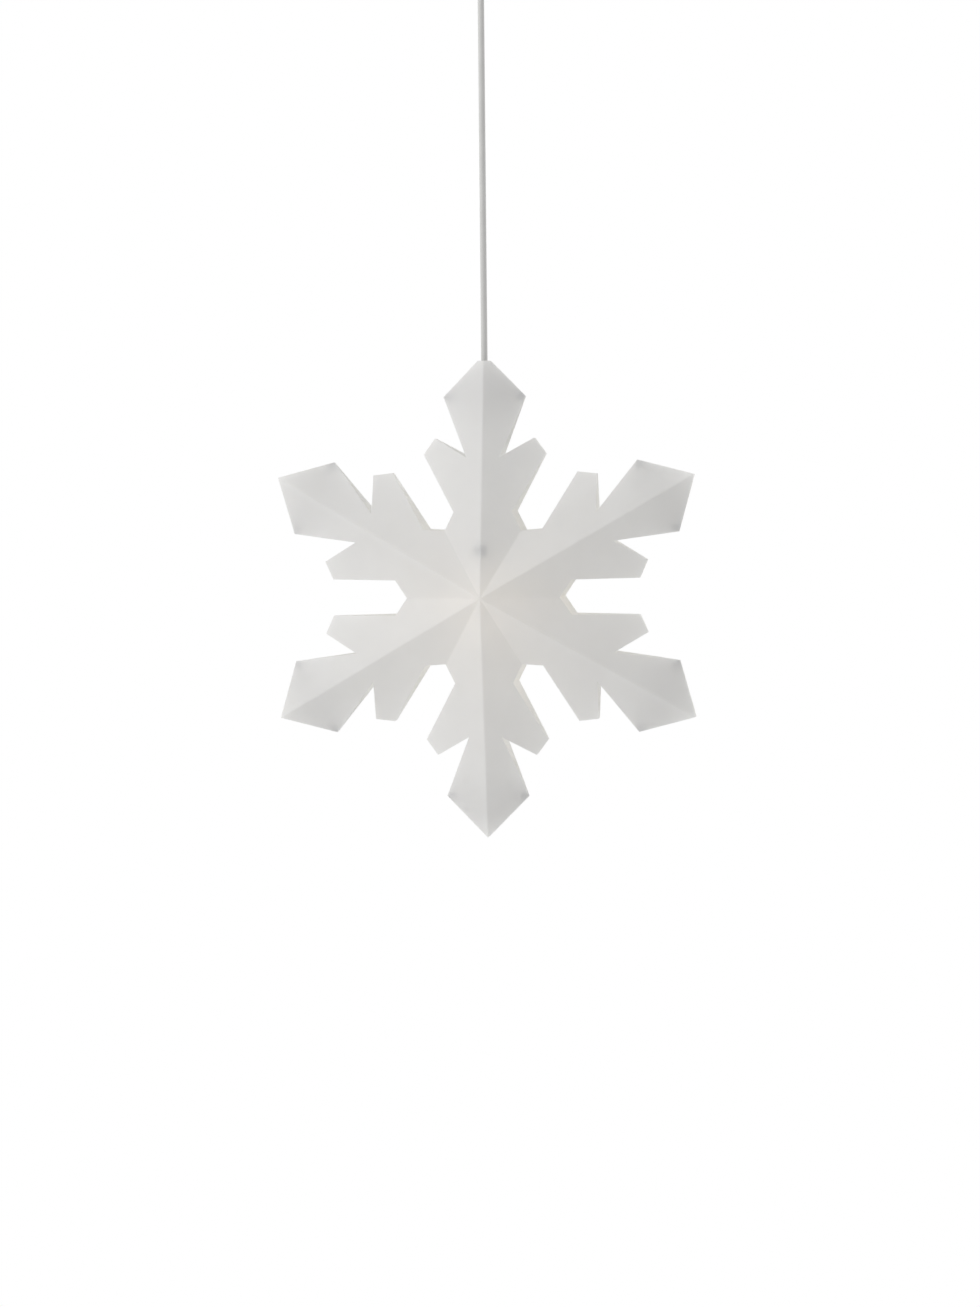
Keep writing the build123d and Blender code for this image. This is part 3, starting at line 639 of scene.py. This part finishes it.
def turned(profile, steps=96, shape=None, level=LAMP_LEVEL, closed=True):
    """A mesh turned round the Z axis from (radius, height) points over a level.

    shape(radius, height, angle) may return another radius, for ribs and threads.
    """
    work = bmesh.new()
    loops = []
    for radius, height in profile:
        if radius == 0:
            loops.append([work.verts.new((0, 0, (height + level) * MM))])
            continue
        loop = []
        for step in range(steps):
            angle = 2 * pi * step / steps
            r = shape(radius, height, angle) if shape else radius
            loop.append(work.verts.new((r * cos(angle) * MM, r * sin(angle) * MM, (height + level) * MM)))
        loops.append(loop)
    pairs = list(zip(loops, loops[1:]))
    if closed:
        pairs.append((loops[-1], loops[0]))
    for lower, upper in pairs:
        for step in range(steps):
            after = (step + 1) % steps
            if len(lower) == 1:
                work.faces.new((lower[0], upper[after], upper[step]))
            elif len(upper) == 1:
                work.faces.new((lower[step], lower[after], upper[0]))
            else:
                work.faces.new((lower[step], lower[after], upper[after], upper[step]))
    bmesh.ops.recalc_face_normals(work, faces=work.faces)
    return mesh_of(work, "turned")


def thread(pitch, depth, low, high, inward=True):
    """A shape function: a screw thread of a pitch and depth on the points between two levels."""

    def shape(radius, height, angle):
        if not low < height < high:
            return radius
        fade = min(1.0, (height - low) / pitch, (high - height) / pitch)
        wave = 0.5 - 0.5 * cos(2 * pi * (height / pitch - angle / (2 * pi)))
        return radius - depth * wave * fade if inward else radius + depth * wave * fade

    return shape


def between_ribs(angle, count, depth):
    """Depth of the hollows between grip ribs, at an angle."""
    return depth * (0.5 + 0.5 * cos(count * angle)) ** 2


def drilled(made, place, radius, length):
    """Cuts a round hole along the X axis."""
    work = bmesh.new()
    bmesh.ops.create_cone(
        work, cap_ends=True, segments=32, radius1=radius * MM, radius2=radius * MM, depth=length * MM
    )
    turn = Vector((0, 0, 1)).rotation_difference(Vector((1, 0, 0))).to_matrix().to_4x4()
    work.transform(Matrix.Translation(Vector(place) * MM) @ turn)
    tool = bpy.data.objects.new("tool", mesh_of(work, "tool"))
    bpy.context.scene.collection.objects.link(tool)
    cut = made.modifiers.new("hole", "BOOLEAN")
    cut.operation = "DIFFERENCE"
    cut.solver = "EXACT"
    cut.object = tool
    bpy.context.view_layer.update()
    evaluated = made.evaluated_get(bpy.context.evaluated_depsgraph_get())
    mesh = bpy.data.meshes.new_from_object(evaluated)
    made.modifiers.clear()
    made.data = mesh
    bpy.data.objects.remove(tool)


# Foil sheets


def facet_points(cut):
    """Corners of a facet as (sideways, along); the top arm's is cut off square at the tip."""
    tip = [(0.0, ARM_LENGTH)]
    if cut:
        half = TIP_OPENING / 2
        level = ARM_LENGTH - half * (ARM_LENGTH - CORNER[0]) / CORNER[1]
        tip = [(0.0, level), (half, level)]
    rest = [(side, along) for along, side in (CORNER, NOTCH, FORK_TIP, FORK_HEEL, WAIST)]
    valley = (VALLEY_END * sin(SECTOR), VALLEY_END * cos(SECTOR))
    return [(0.0, 0.0), *tip, *rest, valley]


def split_run(start, end, pitch):
    """Points from start up to, but without, end."""
    count = max(1, round(hypot(end[0] - start[0], end[1] - start[1]) / pitch))
    return [
        (start[0] + (end[0] - start[0]) * i / count, start[1] + (end[1] - start[1]) * i / count)
        for i in range(count)
    ]


def clear_of_edge(point, corners):
    """Whether a point lies inside the outline and off its edges."""
    x, y = point
    within = False
    for (x0, y0), (x1, y1) in zip(corners, corners[1:] + corners[:1]):
        if (y0 > y) != (y1 > y) and x < x0 + (y - y0) * (x1 - x0) / (y1 - y0):
            within = not within
        run = hypot(x1 - x0, y1 - y0)
        t = max(0.0, min(1.0, ((x - x0) * (x1 - x0) + (y - y0) * (y1 - y0)) / run**2))
        if hypot(x - x0 - t * (x1 - x0), y - y0 - t * (y1 - y0)) < EDGE_CLEARANCE:
            return False
    return within


def facet_triangles(cut):
    """Flat triangulation of a facet, finer beside its folds."""
    corners = facet_points(cut)
    edge = []
    for here, after in zip(corners, corners[1:] + corners[:1]):
        edge += split_run(here, after, EDGE_PITCH)
    inside = []
    for offset in FOLD_ROWS:
        for i in range(1, ceil(ARM_LENGTH / EDGE_PITCH)):
            along = EDGE_PITCH * i
            inside.append((offset, along))
            inside.append(
                (along * sin(SECTOR) - offset * cos(SECTOR), along * cos(SECTOR) + offset * sin(SECTOR))
            )
    for row in range(ceil(ARM_LENGTH / GRID_PITCH[1])):
        for column in range(ceil(FORK_HEEL[1] / GRID_PITCH[0])):
            side = GRID_START[0] + GRID_PITCH[0] * column + GRID_PITCH[0] / 2 * (row % 2)
            inside.append((side, GRID_PITCH[1] * row + GRID_START[1]))
    kept = [point for point in inside if clear_of_edge(point, corners)]
    loop = list(range(len(edge)))
    triangles_inside = 1
    closest = 1e-5
    result = delaunay_2d_cdt([Vector(p) for p in edge + kept], [], [loop], triangles_inside, closest)
    return [tuple(v) for v in result[0]], [tuple(f) for f in result[2]]


def facet_height(side, along, phase):
    """Height of the sheet's outer face over the middle plane, with rounded folds and a slight bow."""
    chosen = settings().foil
    radius = chosen.crease_radius
    height = APEX - RIDGE_FALL * along - SIDE_FALL * (hypot(side, radius) - RIDGE_ROUND * radius)
    off_valley = along * sin(SECTOR) - side * cos(SECTOR)
    height += VALLEY_RISE * (hypot(off_valley, radius) - off_valley) * VALLEY_ROUND
    # the bow fades out at both folds, at the middle and at the arm's outer corner
    beside_folds = min(1.0, side / BOW_FADE) * min(1.0, max(0.0, off_valley) / BOW_FADE)
    along_arm = sin(pi * min(1.0, along / BOW_END))
    wave = along_arm * sin(2 * pi * along / WAVE_LENGTH + phase)
    return height - chosen.bow * (1 - WAVE_SHARE + WAVE_SHARE * wave) * beside_folds * along_arm


def fold_share(side):
    """1 on a ridge, fading to 0 beside it."""
    return max(0.0, 1.0 - side / (FOLD_LINE * settings().foil.crease_radius))


def facet_vertices(work, points, arm, half, facing, depth):
    """One face of a facet, sunk by a depth; half is 1 on the right of the arm's ridge and -1 on its left."""
    fold = work.verts.layers.float["fold"]
    turn = radians(360 / ARMS * arm)
    phase = ARM_PHASE * arm + HALF_PHASE * half + SHEET_PHASE * facing
    made = []
    for side, along in points:
        height = facet_height(side, along, phase) - depth
        x = half * side * cos(turn) + along * sin(turn)
        z = -half * side * sin(turn) + along * cos(turn) + LAMP_LEVEL
        vertex = work.verts.new((x * MM, facing * height * MM, z * MM))
        vertex[fold] = fold_share(side)
        made.append(vertex)
    return made


def close_rims(work):
    """Walls along the cut edges, from the outer face to the inner one straight behind it."""
    rims = [edge for edge in work.edges if len(edge.link_faces) == 1]
    places = {v: (round(v.co.x, 6), round(v.co.z, 6)) for edge in rims for v in edge.verts}
    behind = {}
    for vertex, place in places.items():
        behind.setdefault(place, []).append(vertex)
    for edge in rims:
        mates = [[v for v in behind[places[vertex]] if v is not vertex] for vertex in edge.verts]
        if not all(mates):
            raise RuntimeError("a cut edge of the sheet has no other side")
        first, second = edge.verts
        if abs(first.co.y) > abs(mates[0][0].co.y):
            work.faces.new((first, second, mates[1][0], mates[0][0]))


def folded_sheet(facing):
    """The folded snowflake sheet as one closed mesh; facing is -1 for the front and 1 for the back."""
    work = bmesh.new()
    work.verts.layers.float.new("fold")
    plain = facet_triangles(False)
    cut = facet_triangles(True)
    for arm in range(ARMS):
        points, faces = cut if arm == 0 else plain
        for half in (1, -1):
            outer = facet_vertices(work, points, arm, half, facing, 0.0)
            inner = facet_vertices(work, points, arm, half, facing, SHEET_DEPTH)
            for a, b, c in faces:
                order = (a, b, c) if half * facing > 0 else (a, c, b)
                work.faces.new([outer[i] for i in order])
                work.faces.new([inner[i] for i in reversed(order)])
    bmesh.ops.remove_doubles(work, verts=work.verts, dist=WELD * MM)
    close_rims(work)
    bmesh.ops.recalc_face_normals(work, faces=work.faces)
    return mesh_of(work, "sheet")


class PENDANT_OT_foil_sheets(bpy.types.Operator):
    """Make the two folded foil sheets, with softened folds, a sheet's thickness and cut edges"""

    bl_idname = "pendant.foil_sheets"
    bl_label = "Foil Sheets"

    def execute(self, context):
        foil = polypropylene_foil()
        finished("foil_front", folded_sheet(-1), foil, "front_shade", "front_shade")
        finished("foil_back", folded_sheet(1), foil, "lamp", "back_shade")
        return {"FINISHED"}


# Cord


class PENDANT_OT_cord(bpy.types.Operator):
    """Make the cord, a taut round cable from the cup's grip down to the lamp holder's grip"""

    bl_idname = "pendant.cord"
    bl_label = "Cord"

    def execute(self, context):
        diameter = settings().cord.diameter
        line = bpy.data.curves.new("cord_line", "CURVE")
        line.dimensions = "3D"
        spline = line.splines.new("NURBS")
        levels = (CORD_LOW + CORD_END_GAP, *CORD_POINTS, CORD_HIGH)
        spline.points.add(len(levels) - 1)
        for point, level in zip(spline.points, levels):
            point.co = (0, 0, level * MM, 1)
        spline.order_u = 3
        spline.use_endpoint_u = True
        line.bevel_depth = diameter / 2
        line.bevel_resolution = 6
        line.use_fill_caps = True
        sheath = pvc_sheath()
        line.materials.append(sheath)
        flex = bpy.data.objects.new("cord_flex", line)
        context.scene.collection.objects.link(flex)
        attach(flex, "cord")
        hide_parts("cord", "cord_bend")
        dress(sheath, "cord_end_holder", "cord_end_ceiling")
        return {"FINISHED"}


# Lamp holder


def holder_body():
    """The holder's tube: a mouth, a flange, a fluted upper part, a neck, and a ledge in the bore."""
    profile = [
        (HOLDER_BORE, MOUTH_HEIGHT),
        (MOUTH_RADIUS - MOUTH_CHAMFER, MOUTH_HEIGHT),
        (MOUTH_RADIUS, MOUTH_HEIGHT + MOUTH_CHAMFER),
        (MOUTH_RADIUS, FLANGE_LOW),
        (FLANGE_RADIUS, FLANGE_LOW),
        (FLANGE_RADIUS, FLANGE_HIGH),
        (HOLDER_RADIUS, FLANGE_HIGH),
        (HOLDER_RADIUS, STEP_HEIGHT),
        (NECK_RADIUS, STEP_HEIGHT),
        (NECK_RADIUS, NECK_HIGH),
        (HOLDER_BORE, NECK_HIGH),
        (HOLDER_BORE, LEDGE_HIGH),
        (LEDGE_RADIUS, LEDGE_HIGH),
        (LEDGE_RADIUS, LEDGE_LOW),
        (HOLDER_BORE, LEDGE_LOW),
    ]

    # the wall has no points between its ends, so the thread shows only as a faint wave at the chamfer
    run_in = thread(MOUTH_THREAD_PITCH, MOUTH_THREAD_DEPTH, *MOUTH_THREAD)

    def shape(radius, height, angle):
        if radius > MOUTH_RADIUS - SLIP:
            radius = run_in(radius, height, angle)
        if FLUTE_ENDS[0] < height < FLUTE_ENDS[1] and radius > (MOUTH_RADIUS + HOLDER_RADIUS) / 2:
            radius -= FLUTE_DEPTH * max(0.0, cos(FLUTES * angle)) ** 3
        return radius

    dense = refined(eased(profile, radius=0.35), FLANGE_HIGH, STEP_HEIGHT, pitch=1.2)
    return turned(dense, steps=192, shape=shape)


def shade_ring():
    """The nut under the carrier: grip ribs, and a plain collar at its top."""
    grip_high = RING_HIGH - RING_COLLAR - RING_SLOPE
    profile = [
        (MOUTH_RADIUS + SLIP, RING_LOW),
        (RING_GRIP_RADIUS - RING_LEAD[0], RING_LOW),
        (RING_GRIP_RADIUS, RING_LOW + RING_LEAD[1]),
        (RING_GRIP_RADIUS, grip_high),
        (FLANGE_RADIUS, RING_HIGH - RING_COLLAR),
        (FLANGE_RADIUS, RING_HIGH - RING_EDGE[1]),
        (FLANGE_RADIUS - RING_EDGE[0], RING_HIGH),
        (MOUTH_RADIUS + SLIP, RING_HIGH),
    ]
    ribs = settings().holder.ribs

    def ribbed(radius, height, angle):
        if radius > (MOUTH_RADIUS + RING_GRIP_RADIUS) / 2 and height < grip_high + SLIP:
            return radius - between_ribs(angle, ribs, RING_RIB_DEPTH)
        return radius

    dense = refined(profile, RING_LOW, grip_high, pitch=1.0)
    return turned(dense, steps=12 * ribs, shape=ribbed)


def holder_cap():
    """The bell over the neck, with a hole in its roof for the cord grip."""
    profile = [
        (HOLDER_RADIUS - SLIP, STEP_HEIGHT + SKIRT_GAP),
        (HOLDER_RADIUS, NECK_HIGH),
        *BELL_POINTS,
        (ROOF_RADIUS, ROOF_HIGH),
        (GRIP_NECK + SLIP, ROOF_HIGH),
        (GRIP_NECK + SLIP, ROOF_HIGH - ROOF_THICKNESS),
        (ROOF_RADIUS - BELL_WALL, ROOF_HIGH - ROOF_THICKNESS),
        (SKIRT_RADIUS - SKIRT_STEP[0], NECK_HIGH + SKIRT_STEP[1]),
        (SKIRT_RADIUS, NECK_HIGH + SLIP),
        (SKIRT_RADIUS, STEP_HEIGHT + SKIRT_GAP),
    ]
    return turned(eased(profile, radius=1.0), steps=128)


def threaded_shell():
    """The sleeve that the bulb screws into, with a rim under the contact insert."""
    inner = CAP_RADIUS + 2 * SLIP
    low = LEDGE_HIGH - SHELL_LENGTH
    profile = [
        (inner, low),
        (inner + SHELL_WALL, low),
        (inner + SHELL_WALL, LEDGE_HIGH),
        (SHELL_RECESS, LEDGE_HIGH),
        (SHELL_RECESS, LEDGE_HIGH - SHELL_WALL),
        (inner, LEDGE_HIGH - SHELL_WALL),
    ]
    rolled = thread(
        SCREW_PITCH, SHELL_THREAD_DEPTH, low + SHELL_PLAIN_END, LEDGE_HIGH - SHELL_PLAIN_END, inward=False
    )
    return turned(refined(profile, low, LEDGE_HIGH, pitch=0.35), shape=rolled)


class PENDANT_OT_holder(bpy.types.Operator):
    """Make the lamp holder: fluted body, ribbed shade ring, cap, threaded shell, contacts and carrier"""

    bl_idname = "pendant.holder"
    bl_label = "Lamp Holder"

    def execute(self, context):
        white = moulded("moulded_white_polyester", settings().holder.colour, "F3F2EE")
        brass = rolled_brass()
        for name, mesh, replaced in (
            ("holder_body_turned", holder_body(), "holder_body"),
            ("shade_ring_ribbed", shade_ring(), "shade_ring"),
            ("holder_cap_turned", holder_cap(), "holder_cap"),
        ):
            finished(name, mesh, white, "lamp", replaced)
        finished("threaded_shell_rolled", threaded_shell(), brass, "lamp", "threaded_shell")
        dress(brass, "centre_contact")
        dress(fired_steatite(), "contact_insert")
        dress(zinc_plated_steel(), "insert_screws")
        dress(clear_polycarbonate(), "shade_carrier", "front_stud", "back_stud", "corner_tabs")
        return {"FINISHED"}


# Cord grips


def grip(name, radius, low, high, neck, material, body, replaced):
    """A ribbed cord grip between two levels, with a threaded neck that ends at a third."""
    up = neck > high
    face, back = (low, high) if up else (high, low)
    inward = 1 if up else -1
    # the cup's grip has a wider mouth, so that the cord can bend there
    mouth = [(GRIP_BORE, face + inward * GRIP_MOUTH), (GRIP_MOUTH, face)] if up else [(GRIP_BORE, face)]
    profile = mouth + [
        (radius - GRIP_EDGE, face),
        (radius, face + inward * GRIP_EDGE),
        (radius, back),
        (GRIP_NECK, back),
        (GRIP_NECK, neck),
        (GRIP_BORE, neck),
    ]
    neck_low = min(back, neck)
    neck_high = max(back, neck)
    dense = refined(eased(profile, GRIP_EASE), neck_low + GRIP_EASE, neck_high - SLIP, pitch=0.12)
    dense = refined(dense, low + GRIP_EDGE, high, pitch=1.0)
    cut = thread(
        GRIP_THREAD_PITCH,
        GRIP_THREAD_DEPTH,
        neck_low + GRIP_THREAD_MARGINS[0],
        neck_high - GRIP_THREAD_MARGINS[1],
    )

    def shape(r, height, angle):
        if abs(r - GRIP_NECK) < SLIP / 2:
            return cut(r, height, angle)
        if r > radius - SLIP and low + GRIP_RIB_MARGINS[0] < height < high - GRIP_RIB_MARGINS[1]:
            return r - between_ribs(angle, GRIP_RIBS, GRIP_RIB_DEPTH)
        return r

    mesh = turned(dense, steps=192, shape=shape, level=0.0)
    made = finished(name, mesh, material, body, replaced)
    drilled(made, (radius, 0, (low + high) / 2), GRIP_HOLE, 2 * (radius - GRIP_HOLE_REACH))


class PENDANT_OT_grips(bpy.types.Operator):
    """Make the two cord grips with their ribs, threaded necks and screw holes"""

    bl_idname = "pendant.grips"
    bl_label = "Cord Grips"

    def execute(self, context):
        nylon = grip_polyamide()
        low = CORD_LOW - HOLDER_GRIP_LENGTH
        grip(
            "holder_grip_ribbed", HOLDER_GRIP_RADIUS, low, CORD_LOW, low - HOLDER_GRIP_NECK,
            nylon, "lamp", "holder_cord_grip",
        )
        grip(
            "cup_grip_ribbed", CUP_GRIP_RADIUS, CORD_HIGH, CUP_FLOOR, CUP_FLOOR + CUP_GRIP_NECK,
            nylon, "ceiling", "cup_cord_grip",
        )
        dress(nylon, "holder_grip_screw", "cup_grip_screw", "cup_grip_nut")
        return {"FINISHED"}


# Bulb


def globe():
    """The hollow globe, open at its rim."""
    profile = []
    for radius, way in ((GLOBE_RADIUS, 1), (GLOBE_RADIUS - GLOBE_WALL, -1)):
        rim = degrees(atan2(GLOBE_CUT, sqrt(radius**2 - GLOBE_CUT**2)))
        profile += arc((0, 0), radius, -90, rim, steps=40)[::way]
    # both arcs have their pole on the axis
    profile[0] = (0.0, profile[0][1])
    profile[-1] = (0.0, profile[-1][1])
    return turned(profile, steps=128, closed=False)


def collar():
    """The hollow collar between the globe's rim and the screw cap, with cooling fins round its cone."""
    waist_radius, waist_height = COLLAR_WAIST
    neck_high = CAP_LOW + COLLAR_NECK_LENGTH
    profile = [
        (sqrt(GLOBE_RADIUS**2 - GLOBE_CUT**2), GLOBE_CUT),
        (waist_radius, waist_height),
        (SHOULDER_RADIUS, CAP_LOW - SHOULDER_LENGTH),
        (SHOULDER_RADIUS, CAP_LOW),
        (COLLAR_NECK, CAP_LOW),
        (COLLAR_NECK, neck_high),
        (COLLAR_NECK - COLLAR_WALL / 2, neck_high),
        (COLLAR_NECK - COLLAR_WALL / 2, CAP_LOW - COLLAR_THROAT),
        (waist_radius - COLLAR_WALL, waist_height),
        (BOARD_SEAT, GLOBE_CUT + BOARD_THICKNESS),
        (BOARD_SEAT, GLOBE_CUT),
    ]

    def finned(radius, height, angle):
        if FIN_ENDS[0] < height < FIN_ENDS[1] and radius > FIN_LEAST_RADIUS:
            return radius - between_ribs(angle, COLLAR_FINS, FIN_DEPTH)
        return radius

    dense = refined(eased(profile, radius=0.5), GLOBE_CUT + 2 * SLIP, CAP_LOW, pitch=1.0)
    return turned(dense, steps=216, shape=finned)


def screw_cap():
    """The bulb's rolled screw cap."""
    profile = [(CAP_INNER, CAP_LOW), (CAP_RADIUS, CAP_LOW), (CAP_RADIUS, CAP_HIGH), (CAP_INNER, CAP_HIGH)]
    rolled = thread(SCREW_PITCH, CAP_THREAD_DEPTH, *CAP_THREAD)
    return turned(refined(profile, CAP_LOW, CAP_HIGH, pitch=0.3), shape=rolled)


class PENDANT_OT_bulb(bpy.types.Operator):
    """Make the bulb: opal globe, ribbed collar, light board, driver and screw cap"""

    bl_idname = "pendant.bulb"
    bl_label = "Bulb"

    def execute(self, context):
        finished(
            "bulb_globe_opal", globe(), opal_polycarbonate(), "bulb", "bulb_globe", sharp=50
        )
        finished("bulb_collar_ribbed", collar(), collar_polyamide(), "bulb", "bulb_collar")
        nickel = nickel_plated_brass()
        finished("bulb_screw_cap_rolled", screw_cap(), nickel, "bulb", "bulb_screw_cap")
        dress(tinned_contact(), "bulb_tip")
        dress(black_cap_glass(), "bulb_insulator")
        dress(solder_mask_board(), "bulb_light_board")
        dress(glass_epoxy_board(), "bulb_driver")
        return {"FINISHED"}


# Ceiling cup and what it covers


def ceiling_cup():
    """The cup: open at the ceiling, rounded below, with a hole in its floor for the cord grip."""
    centre = (CUP_RADIUS - CUP_CORNER, CUP_FLOOR + CUP_CORNER)
    hole = GRIP_NECK + SLIP
    profile = [
        (hole, CUP_FLOOR),
        *arc(centre, CUP_CORNER, -90, 0, steps=16),
        (CUP_RADIUS, CUP_RIM - CUP_CHAMFER),
        (CUP_RADIUS - CUP_CHAMFER, CUP_RIM),
        (CUP_RADIUS - CUP_WALL, CUP_RIM),
        *arc(centre, CUP_CORNER - CUP_WALL, 0, -90, steps=16),
        (hole, CUP_FLOOR + CUP_WALL),
    ]
    return turned(profile, steps=160, level=0.0)


class PENDANT_OT_ceiling_fittings(bpy.types.Operator):
    """Make the ceiling cup and finish the strap, screws, terminal block and wires"""

    bl_idname = "pendant.ceiling_fittings"
    bl_label = "Ceiling Fittings"

    def execute(self, context):
        white = moulded("moulded_white_abs", settings().cup.colour, "F2F1ED")
        cup = finished(
            "ceiling_cup_moulded", ceiling_cup(), white, "ceiling", "ceiling_cup"
        )
        for side in (-1, 1):
            place = (side * (CUP_RADIUS - CUP_WALL / 2), 0, SIDE_HOLE_LEVEL)
            drilled(cup, place, SIDE_HOLE, SIDE_HOLE_LENGTH)
        dress(zinc_plated_steel(), "mounting_strap", "cup_side_screws", "block_screw", "terminal_screws")
        dress(rolled_brass(), "terminal_clamps")
        dress(moulded("moulded_polyamide_block", "E8E6DE", "ECEAE3"), "terminal_block")
        dress(pvc_wire_covers(), "ceiling_wires", "holder_wires")
        return {"FINISHED"}


# Stage


def place_camera():
    """The camera at the photograph's angle, looking straight at a point a little below the lamp's middle."""
    chosen = settings().stage
    azimuth = chosen.azimuth
    elevation = chosen.elevation
    back = Vector((sin(azimuth) * cos(elevation), -cos(azimuth) * cos(elevation), sin(elevation)))
    right = Vector((cos(azimuth), sin(azimuth), 0))
    up = back.cross(right)
    data = bpy.data.cameras.new("camera")
    data.sensor_fit = "VERTICAL"
    data.sensor_height = 36
    data.lens = chosen.lens
    data.clip_end = CAMERA_CLIP_END
    camera = bpy.data.objects.new("camera", data)
    bpy.context.scene.collection.objects.link(camera)
    turn = Matrix((right, up, back)).transposed().to_4x4()
    middle = Vector((0, 0, LAMP_LEVEL * MM))
    place = middle + right * CAMERA_RIGHT - up * CAMERA_DOWN + back * chosen.distance
    camera.matrix_world = Matrix.Translation(place) @ turn @ Matrix.Rotation(chosen.roll, 4, "Z")
    bpy.context.scene.camera = camera


def hang_studio_lamp(name, power, place):
    """A soft square studio lamp that points at the pendant's middle."""
    light = bpy.data.lights.new(name, "AREA")
    light.energy = power
    light.size = STUDIO_LAMP_SIZE
    made = bpy.data.objects.new(name, light)
    made.visible_camera = False
    bpy.context.scene.collection.objects.link(made)
    made.location = place
    toward = Vector((0, 0, LAMP_LEVEL * MM)) - Vector(place)
    made.rotation_euler = toward.to_track_quat("-Z", "Y").to_euler()


def light_world():
    """Even light all round, with a white background for camera, glossy and transmission rays."""
    chosen = settings().stage
    world = bpy.data.worlds.new("studio")
    bpy.context.scene.world = world
    world.use_nodes = True
    tree = world.node_tree
    tree.nodes.clear()
    path = node(tree, "ShaderNodeLightPath").outputs
    seen = path["Is Camera Ray"]
    for ray in ("Is Glossy Ray", "Is Transmission Ray"):
        seen = node(tree, "ShaderNodeMath", {0: seen, 1: path[ray]}, operation="MAXIMUM").outputs[0]
    # the lit backdrop behind the lamp is brighter than the room in front of it
    toward = node(tree, "ShaderNodeTexCoord").outputs["Generated"]
    toward = node(tree, "ShaderNodeSeparateXYZ", {"Vector": toward}).outputs["Y"]
    level = node(
        tree,
        "ShaderNodeMapRange",
        {
            "Value": toward,
            "From Min": BACKDROP_FADE[0],
            "From Max": BACKDROP_FADE[1],
            "To Min": chosen.ambient,
            "To Max": chosen.backdrop,
        },
        interpolation_type="SMOOTHSTEP",
    ).outputs["Result"]
    even = node(tree, "ShaderNodeBackground", {"Color": (1, 1, 1, 1), "Strength": level})
    white = node(tree, "ShaderNodeBackground", {"Color": (1, 1, 1, 1), "Strength": 1.0})
    mix = node(tree, "ShaderNodeMixShader", {0: seen, 1: even.outputs[0], 2: white.outputs[0]})
    node(tree, "ShaderNodeOutputWorld", {"Surface": mix.outputs[0]})


def lay_floor():
    """A pale disc well below the lamp."""
    work = bmesh.new()
    bmesh.ops.create_circle(work, cap_ends=True, segments=96, radius=FLOOR_RADIUS)
    floor = bpy.data.objects.new("floor", mesh_of(work, "floor"))
    floor.location = (0, 0, FLOOR_LEVEL)
    bpy.context.scene.collection.objects.link(floor)
    floor.data.materials.append(floor_paint())


class PENDANT_OT_stage(bpy.types.Operator):
    """Set up the camera, the studio lamps, the pale floor and the white background"""

    bl_idname = "pendant.stage"
    bl_label = "Stage"

    def execute(self, context):
        chosen = settings().stage
        context.scene.view_settings.view_transform = "Standard"
        place_camera()
        hang_studio_lamp("key_lamp", chosen.key, KEY_LAMP_PLACE)
        hang_studio_lamp("side_lamp", chosen.side, SIDE_LAMP_PLACE)
        light_world()
        lay_floor()
        return {"FINISHED"}


# Panel and registration


class PendantSettings(bpy.types.PropertyGroup):
    foil: PointerProperty(type=FoilSettings)
    cord: PointerProperty(type=CordSettings)
    holder: PointerProperty(type=HolderSettings)
    bulb: PointerProperty(type=BulbSettings)
    cup: PointerProperty(type=CupSettings)
    stage: PointerProperty(type=StageSettings)


OPERATORS = (
    PENDANT_OT_stage,
    PENDANT_OT_cord,
    PENDANT_OT_foil_sheets,
    PENDANT_OT_holder,
    PENDANT_OT_grips,
    PENDANT_OT_bulb,
    PENDANT_OT_ceiling_fittings,
)


class PENDANT_PT_panel(bpy.types.Panel):
    """Lists the pendant's settings and the pieces that can be made"""

    bl_label = "Pleated Pendant"
    bl_idname = "PENDANT_PT_panel"
    bl_space_type = "VIEW_3D"
    bl_region_type = "UI"
    bl_category = "Pendant"

    def draw(self, context):
        for group in ("foil", "cord", "holder", "bulb", "cup", "stage"):
            box = self.layout.box()
            box.label(text=group.capitalize())
            chosen = getattr(context.scene.pendant, group)
            for name in chosen.bl_rna.properties.keys():
                if name not in ("rna_type", "name"):
                    box.prop(chosen, name)
        for operator in OPERATORS:
            self.layout.operator(operator.bl_idname)


CLASSES = (
    FoilSettings,
    CordSettings,
    HolderSettings,
    BulbSettings,
    CupSettings,
    StageSettings,
    PendantSettings,
    *OPERATORS,
    PENDANT_PT_panel,
)


def register():
    for cls in CLASSES:
        bpy.utils.register_class(cls)
    bpy.types.Scene.pendant = PointerProperty(type=PendantSettings)


def unregister():
    del bpy.types.Scene.pendant
    for cls in reversed(CLASSES):
        bpy.utils.unregister_class(cls)


def main():
    register()
    for operator in OPERATORS:
        group, name = operator.bl_idname.split(".")
        getattr(getattr(bpy.ops, group), name)()


if __name__ == "__main__":
    main()
